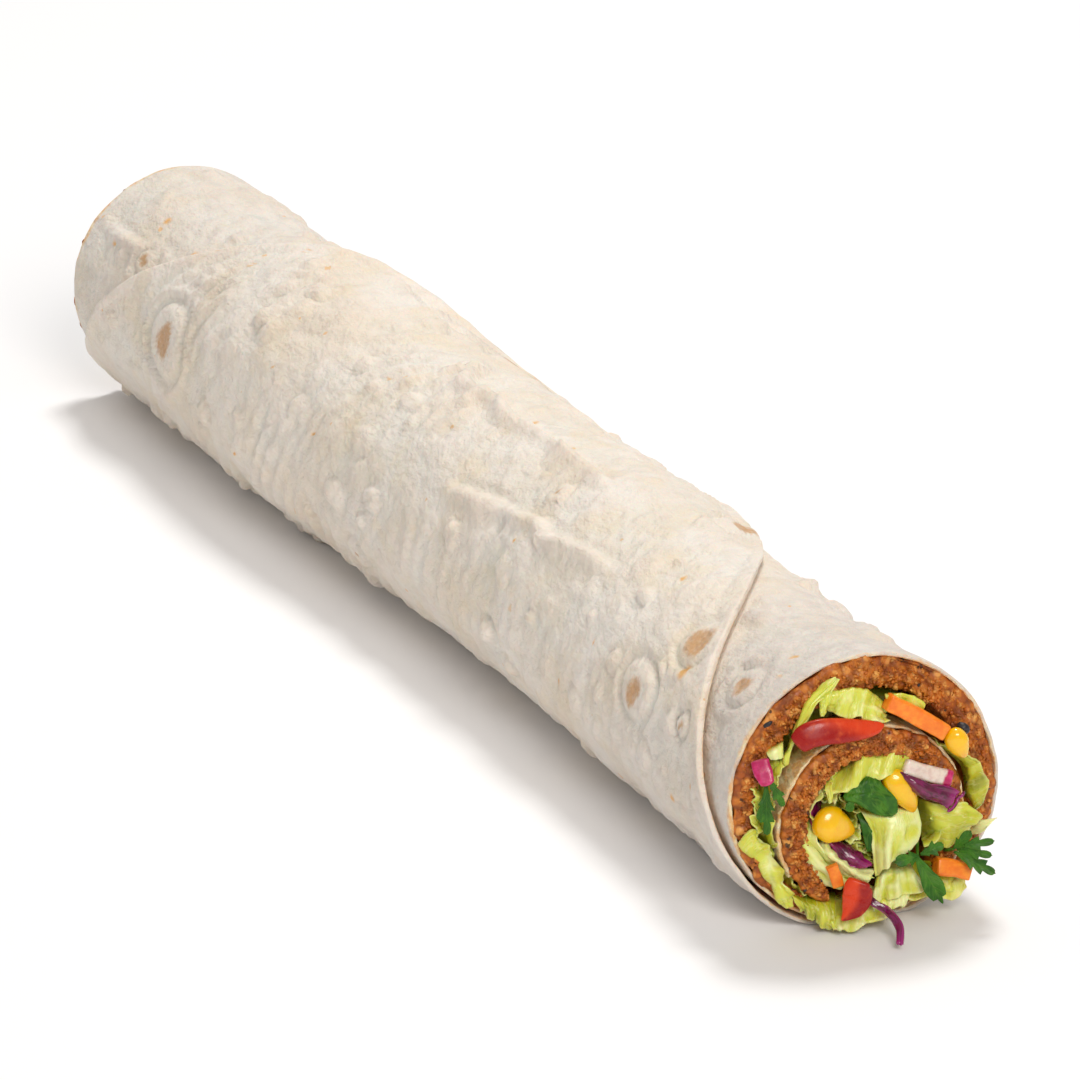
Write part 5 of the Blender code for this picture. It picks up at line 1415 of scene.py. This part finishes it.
def seed_finish(look):
    """Charred skin: near black with a brown bloom, slightly shiny."""
    def build(tree, shader):
        spot = object_place(tree)
        bloom = steps(tree, noise(tree, spot, 0.7, 2.0), 0.45, 0.75)
        connect(tree, shader, mix(tree, bloom, look.seed, look.seed_bloom), None,
                noise(tree, spot, 0.4, 2.0), 0.4, 0.2)

    return finish_of("Charred seed", build, Roughness=0.42)


# Settings

def colour_setting(name, colour, description):
    """A colour that a user can change."""
    return FloatVectorProperty(name=name, description=description, subtype="COLOR", size=3, min=0.0,
                               max=1.0, default=colour)


class BreadLook(bpy.types.PropertyGroup):
    """Sizes and colours of the flatbread."""
    thickness: FloatProperty(name="Thickness", description="Thickness of the bread", default=BREAD * MM,
                             min=0.0005, unit="LENGTH")
    relief: FloatProperty(name="Relief", description="Height of blisters and wrinkles", default=1.0,
                          min=0.0, max=2.0, subtype="FACTOR")
    flour: colour_setting("Flour", (0.84, 0.765, 0.685), "Dry floury face")
    cream: colour_setting("Cream", (0.80, 0.695, 0.575), "Broad warmer patches")
    thin: colour_setting("Thin", (0.69, 0.60, 0.505), "Thin spots")
    # Grey of bread damp from the filling, also used as painted shade near the roll's ends.
    damp_and_shade: colour_setting("Damp", (0.63, 0.565, 0.51), "Bread made damp by the filling")
    butter: colour_setting("Butter", (0.80, 0.66, 0.46), "Yellow patches")
    speck: colour_setting("Speck", (0.80, 0.42, 0.12), "Small toasted specks")
    toast: colour_setting("Toast", (0.66, 0.36, 0.13), "Toasted blisters")
    scorch: colour_setting("Scorch", (0.42, 0.19, 0.06), "Darkest toast")
    oil: colour_setting("Oil", (0.84, 0.38, 0.05), "Oil-soaked rim")
    oil_light: colour_setting("Light oil", (0.98, 0.76, 0.42), "Lighter oily patches")


class FalafelLook(bpy.types.PropertyGroup):
    """Sizes and colours of the falafel paste."""
    bread: FloatProperty(name="Bread", description="Thickness of the bread under it", default=BREAD * MM,
                         min=0.0005, unit="LENGTH")
    crags: FloatProperty(name="Crags", description="Height of the lumps at the ends", default=0.00125,
                         min=0.0, unit="LENGTH")
    grains: IntProperty(name="Grains", description="Loose grains on both ends", default=4300, min=0)
    paste: colour_setting("Paste", (0.38, 0.088, 0.006), "Darker paste")
    middle: colour_setting("Middle", (0.56, 0.165, 0.014), "Middle tone")
    grain: colour_setting("Grain", (0.80, 0.37, 0.085), "Light grains")
    # Painted shade in the clefts between grains.
    cleft_shade: colour_setting("Cleft_shade", (0.16, 0.032, 0.003), "Clefts between grains")
    rust: colour_setting("Rust", (0.64, 0.17, 0.008), "Spiced orange patches")
    fleck: colour_setting("Fleck", (0.035, 0.022, 0.016), "Pepper and herb flecks")
    seed: colour_setting("Seed", (0.012, 0.011, 0.014), "Charred seeds")
    seed_bloom: colour_setting("Seed bloom", (0.06, 0.045, 0.05), "Brown bloom on the seeds")


class SaladLook(bpy.types.PropertyGroup):
    """Colours of the lettuce."""
    filler: IntProperty(name="Shreds", description="Small leaves that fill the middle at the near end",
                        default=24, min=0)
    # Painted shade: the dark green of cores and leaves deep in the roll.
    painted_shade: colour_setting("Shaded", (0.17, 0.20, 0.006), "Leaves deep in the roll")
    green: colour_setting("Green", (0.48, 0.50, 0.018), "Green blades")
    yellow: colour_setting("Yellow", (0.70, 0.69, 0.075), "Yellow-green blades")
    pale: colour_setting("Pale", (0.88, 0.85, 0.38), "Pale ribs")


class ToppingLook(bpy.types.PropertyGroup):
    """Colours of the vegetables."""
    pepper_skin: colour_setting("Pepper skin", (0.33, 0.007, 0.004), "Deep red skin")
    pepper_flesh: colour_setting("Pepper flesh", (0.68, 0.048, 0.007), "Orange-red flesh")
    pepper_light: colour_setting("Pepper light", (0.82, 0.13, 0.02), "Lighter streaks")
    carrot: colour_setting("Carrot", (0.86, 0.19, 0.004), "Carrot")
    carrot_light: colour_setting("Carrot light", (0.95, 0.30, 0.014), "Carrot fibres")
    carrot_deep: colour_setting("Carrot deep", (0.78, 0.15, 0.004), "Deeper patches")
    corn: colour_setting("Corn", (0.90, 0.50, 0.001), "Corn")
    corn_deep: colour_setting("Corn deep", (0.80, 0.36, 0.002), "Crown and rim")
    corn_light: colour_setting("Corn light", (0.94, 0.62, 0.012), "Lighter patches")
    cabbage: colour_setting("Cabbage", (0.075, 0.002, 0.022), "Purple skin")
    cabbage_light: colour_setting("Cabbage light", (0.18, 0.006, 0.060), "Lighter purple")
    cabbage_edge: colour_setting("Cabbage edge", (0.38, 0.012, 0.19), "Cut edges")
    radish: colour_setting("Radish", (0.80, 0.68, 0.58), "White flesh")
    radish_shade: colour_setting("Radish shade", (0.68, 0.52, 0.44), "Translucent flesh")
    radish_skin: colour_setting("Radish skin", (0.46, 0.004, 0.095), "Magenta skin")
    radish_pink: colour_setting("Radish pink", (0.64, 0.045, 0.19), "Lighter skin")
    herb: colour_setting("Herb", (0.016, 0.090, 0.003), "Parsley blades")
    herb_light: colour_setting("Herb light", (0.050, 0.185, 0.006), "Lighter blades")
    herb_vein: colour_setting("Herb vein", (0.12, 0.27, 0.03), "Ribs and veins")


class StageLook(bpy.types.PropertyGroup):
    """Floor and light."""
    floor: colour_setting("Floor", (0.92, 0.92, 0.93), "Floor")
    key: FloatProperty(name="Key light", description="Strength of the large light above", default=16.0,
                       min=0.0, unit="POWER")
    fill: FloatProperty(name="Fill light", description="Strength of the light from the camera's side",
                        default=18.0, min=0.0, unit="POWER")
    sky: FloatProperty(name="Sky", description="Strength of the even light all round", default=0.41, min=0.0)


# Operators

def shared_groups():
    """The shader groups that several finishes use, built once."""
    makers = {"specks": ("Specks", specks_group), "veins": ("Leaf veins", veins_group),
              "grains": ("Packed grains", grain_group)}
    return {key: bpy.data.node_groups.get(name) or make() for key, (name, make) in makers.items()}


class WRAP_OT_bread(bpy.types.Operator):
    """Rolls the flatbread, with its blisters, wrinkles and oily rim"""
    bl_idname = "wrap.bread"
    bl_label = "Flatbread"

    def execute(self, context):
        look = context.scene.wrap_bread
        add_piece("bread_sheet", bread_shape(look), bread_finish(look, shared_groups()), ["flatbread"])
        return {"FINISHED"}


class WRAP_OT_falafel(bpy.types.Operator):
    """Spreads the falafel paste and the loose grains on its ends"""
    bl_idname = "wrap.falafel"
    bl_label = "Falafel"

    def execute(self, context):
        look = context.scene.wrap_falafel
        groups = shared_groups()
        add_piece("falafel_paste", falafel_shape(look), falafel_finish(look, groups, "Falafel paste", 0.8),
                  ["falafel_layer"])
        add_piece("falafel_grains", grain_shape(look), falafel_finish(look, groups, "Falafel grains", 0.3),
                  ["falafel_layer"])
        add_piece("falafel_seeds", seed_shapes(), seed_finish(look), ["falafel_layer"])
        return {"FINISHED"}


class WRAP_OT_lettuce(bpy.types.Operator):
    """Fills the roll with lettuce, in the middle and between the turns"""
    bl_idname = "wrap.lettuce"
    bl_label = "Lettuce"

    def execute(self, context):
        look = context.scene.wrap_salad
        finish = lettuce_finish(look, shared_groups())
        middle = lettuce_shape(heart_core_shape(), MIDDLE_LEAVES, FAR_MIDDLE_LEAVES, look.filler)
        outer = lettuce_shape(fold_core_shape(), OUTER_LEAVES, FAR_OUTER_LEAVES, 0)
        add_piece("lettuce_leaves_middle", middle, finish, ["lettuce_heart"])
        add_piece("lettuce_leaves_outer", outer, finish, ["lettuce_fold"])
        return {"FINISHED"}


def topping_operator(label, idname, summary, shapes, finish):
    """An operator class that adds one kind of vegetable."""
    def execute(self, context):
        made = finish(context.scene.wrap_topping, shared_groups())
        for name, solid, shape in shapes():
            add_piece(name, shape, made, [solid])
        return {"FINISHED"}

    parts = {"__doc__": summary, "bl_idname": "wrap." + idname, "bl_label": label, "execute": execute}
    return type("WRAP_OT_" + idname, (bpy.types.Operator,), parts)


WRAP_OT_pepper = topping_operator("Pepper", "pepper", "Lays the pepper slices", pepper_shapes,
                                  pepper_finish)
WRAP_OT_carrot = topping_operator("Carrot", "carrot", "Lays the carrot sticks", carrot_shapes,
                                  carrot_finish)
WRAP_OT_corn = topping_operator("Corn", "corn", "Drops in the corn kernels", corn_shapes, corn_finish)
WRAP_OT_cabbage = topping_operator("Red cabbage", "cabbage", "Lays the red cabbage shreds", cabbage_shapes,
                                   cabbage_finish)
WRAP_OT_herbs = topping_operator("Parsley", "herbs", "Tucks in the parsley leaves", herb_shapes, herb_finish)


class WRAP_OT_radish(bpy.types.Operator):
    """Lays the radish slice and the chip of its skin"""
    bl_idname = "wrap.radish"
    bl_label = "Radish"

    def execute(self, context):
        look = context.scene.wrap_topping
        finishes = {"radish": radish_finish(look, "Radish flesh", 0.84, 0.9),
                    "radish_skin": radish_finish(look, "Radish skin", -0.3, 0.2)}
        for name, solid, shape, slot_name in radish_shapes():
            add_piece(name, shape, finishes[slot_name], [solid])
        return {"FINISHED"}


def area_light(name, place_at, aim, size, power, colour):
    """A large soft light at a place in metres, turned to its aim."""
    lamp = bpy.data.lights.new(name, "AREA")
    lamp.shape = "DISK"
    lamp.size = size
    lamp.energy = power
    lamp.color = colour
    made = bpy.data.objects.new(name, lamp)
    bpy.context.scene.collection.objects.link(made)
    made.location = place_at
    made.rotation_mode = "QUATERNION"
    made.rotation_quaternion = (Vector(aim) - Vector(place_at)).to_track_quat("-Z", "Y")
    return made


class WRAP_OT_stage(bpy.types.Operator):
    """Sets the pale floor, the soft lights and the camera"""
    bl_idname = "wrap.stage"
    bl_label = "Stage"

    def execute(self, context):
        look = context.scene.wrap_stage
        half = FLOOR_HALF
        corners = [(-half, -half, 0.0), (half, -half, 0.0), (half, half, 0.0), (-half, half, 0.0)]
        mesh = bpy.data.meshes.new("floor")
        mesh.from_pydata(corners, [], [(0, 1, 2, 3)])
        floor = bpy.data.objects.new("floor", mesh)
        floor.location = (0.0, 0.0, -FLOOR_DROP)
        context.scene.collection.objects.link(floor)

        def build(tree, shader):
            shader.inputs["Base Color"].default_value = (*look.floor, 1.0)

        mesh.materials.append(finish_of("Pale floor", build, Roughness=0.9))
        world = bpy.data.worlds.new("Soft sky")
        world.use_nodes = True
        sky = world.node_tree.nodes["Background"]
        sky.inputs["Color"].default_value = (*SKY_COLOUR, 1.0)
        sky.inputs["Strength"].default_value = look.sky
        context.scene.world = world
        context.scene.view_settings.view_transform = "Standard"
        area_light("key light", KEY_PLACE, KEY_AIM, KEY_SIZE, look.key, KEY_COLOUR)
        area_light("fill light", FILL_PLACE, FILL_AIM, FILL_SIZE, look.fill, FILL_COLOUR)
        azimuth, elevation = math.radians(AZIMUTH), math.radians(ELEVATION)
        back = Vector((math.sin(azimuth) * math.cos(elevation), -math.cos(azimuth) * math.cos(elevation),
                       math.sin(elevation)))
        camera = bpy.data.objects.new("camera", bpy.data.cameras.new("camera"))
        context.scene.collection.objects.link(camera)
        camera.data.lens = FOCAL_LENGTH
        camera.data.sensor_width = SENSOR
        camera.data.clip_start = 0.05
        camera.location = (Vector(AIM) + back * DISTANCE) * MM
        camera.rotation_mode = "QUATERNION"
        camera.rotation_quaternion = (-back).to_track_quat("-Z", "Y")
        context.scene.camera = camera
        return {"FINISHED"}


STEPS = (WRAP_OT_stage, WRAP_OT_bread, WRAP_OT_falafel, WRAP_OT_lettuce, WRAP_OT_pepper, WRAP_OT_carrot,
         WRAP_OT_corn, WRAP_OT_cabbage, WRAP_OT_radish, WRAP_OT_herbs)
SETTINGS = {"wrap_bread": BreadLook, "wrap_falafel": FalafelLook, "wrap_salad": SaladLook,
            "wrap_topping": ToppingLook, "wrap_stage": StageLook}


class WRAP_PT_panel(bpy.types.Panel):
    """The steps and settings of the wrap"""
    bl_label = "Falafel wrap"
    bl_idname = "WRAP_PT_panel"
    bl_space_type = "VIEW_3D"
    bl_region_type = "UI"
    bl_category = "Wrap"

    def draw(self, context):
        for step in STEPS:
            self.layout.operator(step.bl_idname)
        for setting, kind in SETTINGS.items():
            box = self.layout.box()
            box.label(text=kind.__doc__)
            for key in kind.__annotations__:
                box.prop(getattr(context.scene, setting), key)


def register():
    """Adds the settings, the steps and the panel."""
    for kind in (*SETTINGS.values(), *STEPS, WRAP_PT_panel):
        bpy.utils.register_class(kind)
    for setting, kind in SETTINGS.items():
        setattr(bpy.types.Scene, setting, PointerProperty(type=kind))


def unregister():
    """Takes them away again."""
    for setting in SETTINGS:
        delattr(bpy.types.Scene, setting)
    for kind in (WRAP_PT_panel, *reversed(STEPS), *SETTINGS.values()):
        bpy.utils.unregister_class(kind)


def main():
    """Builds the wrap step by step and writes its box beside the solids' box."""
    register()
    for step in STEPS:
        group, name = step.bl_idname.split(".")
        getattr(getattr(bpy.ops, group), name)()


if __name__ == "__main__":
    main()
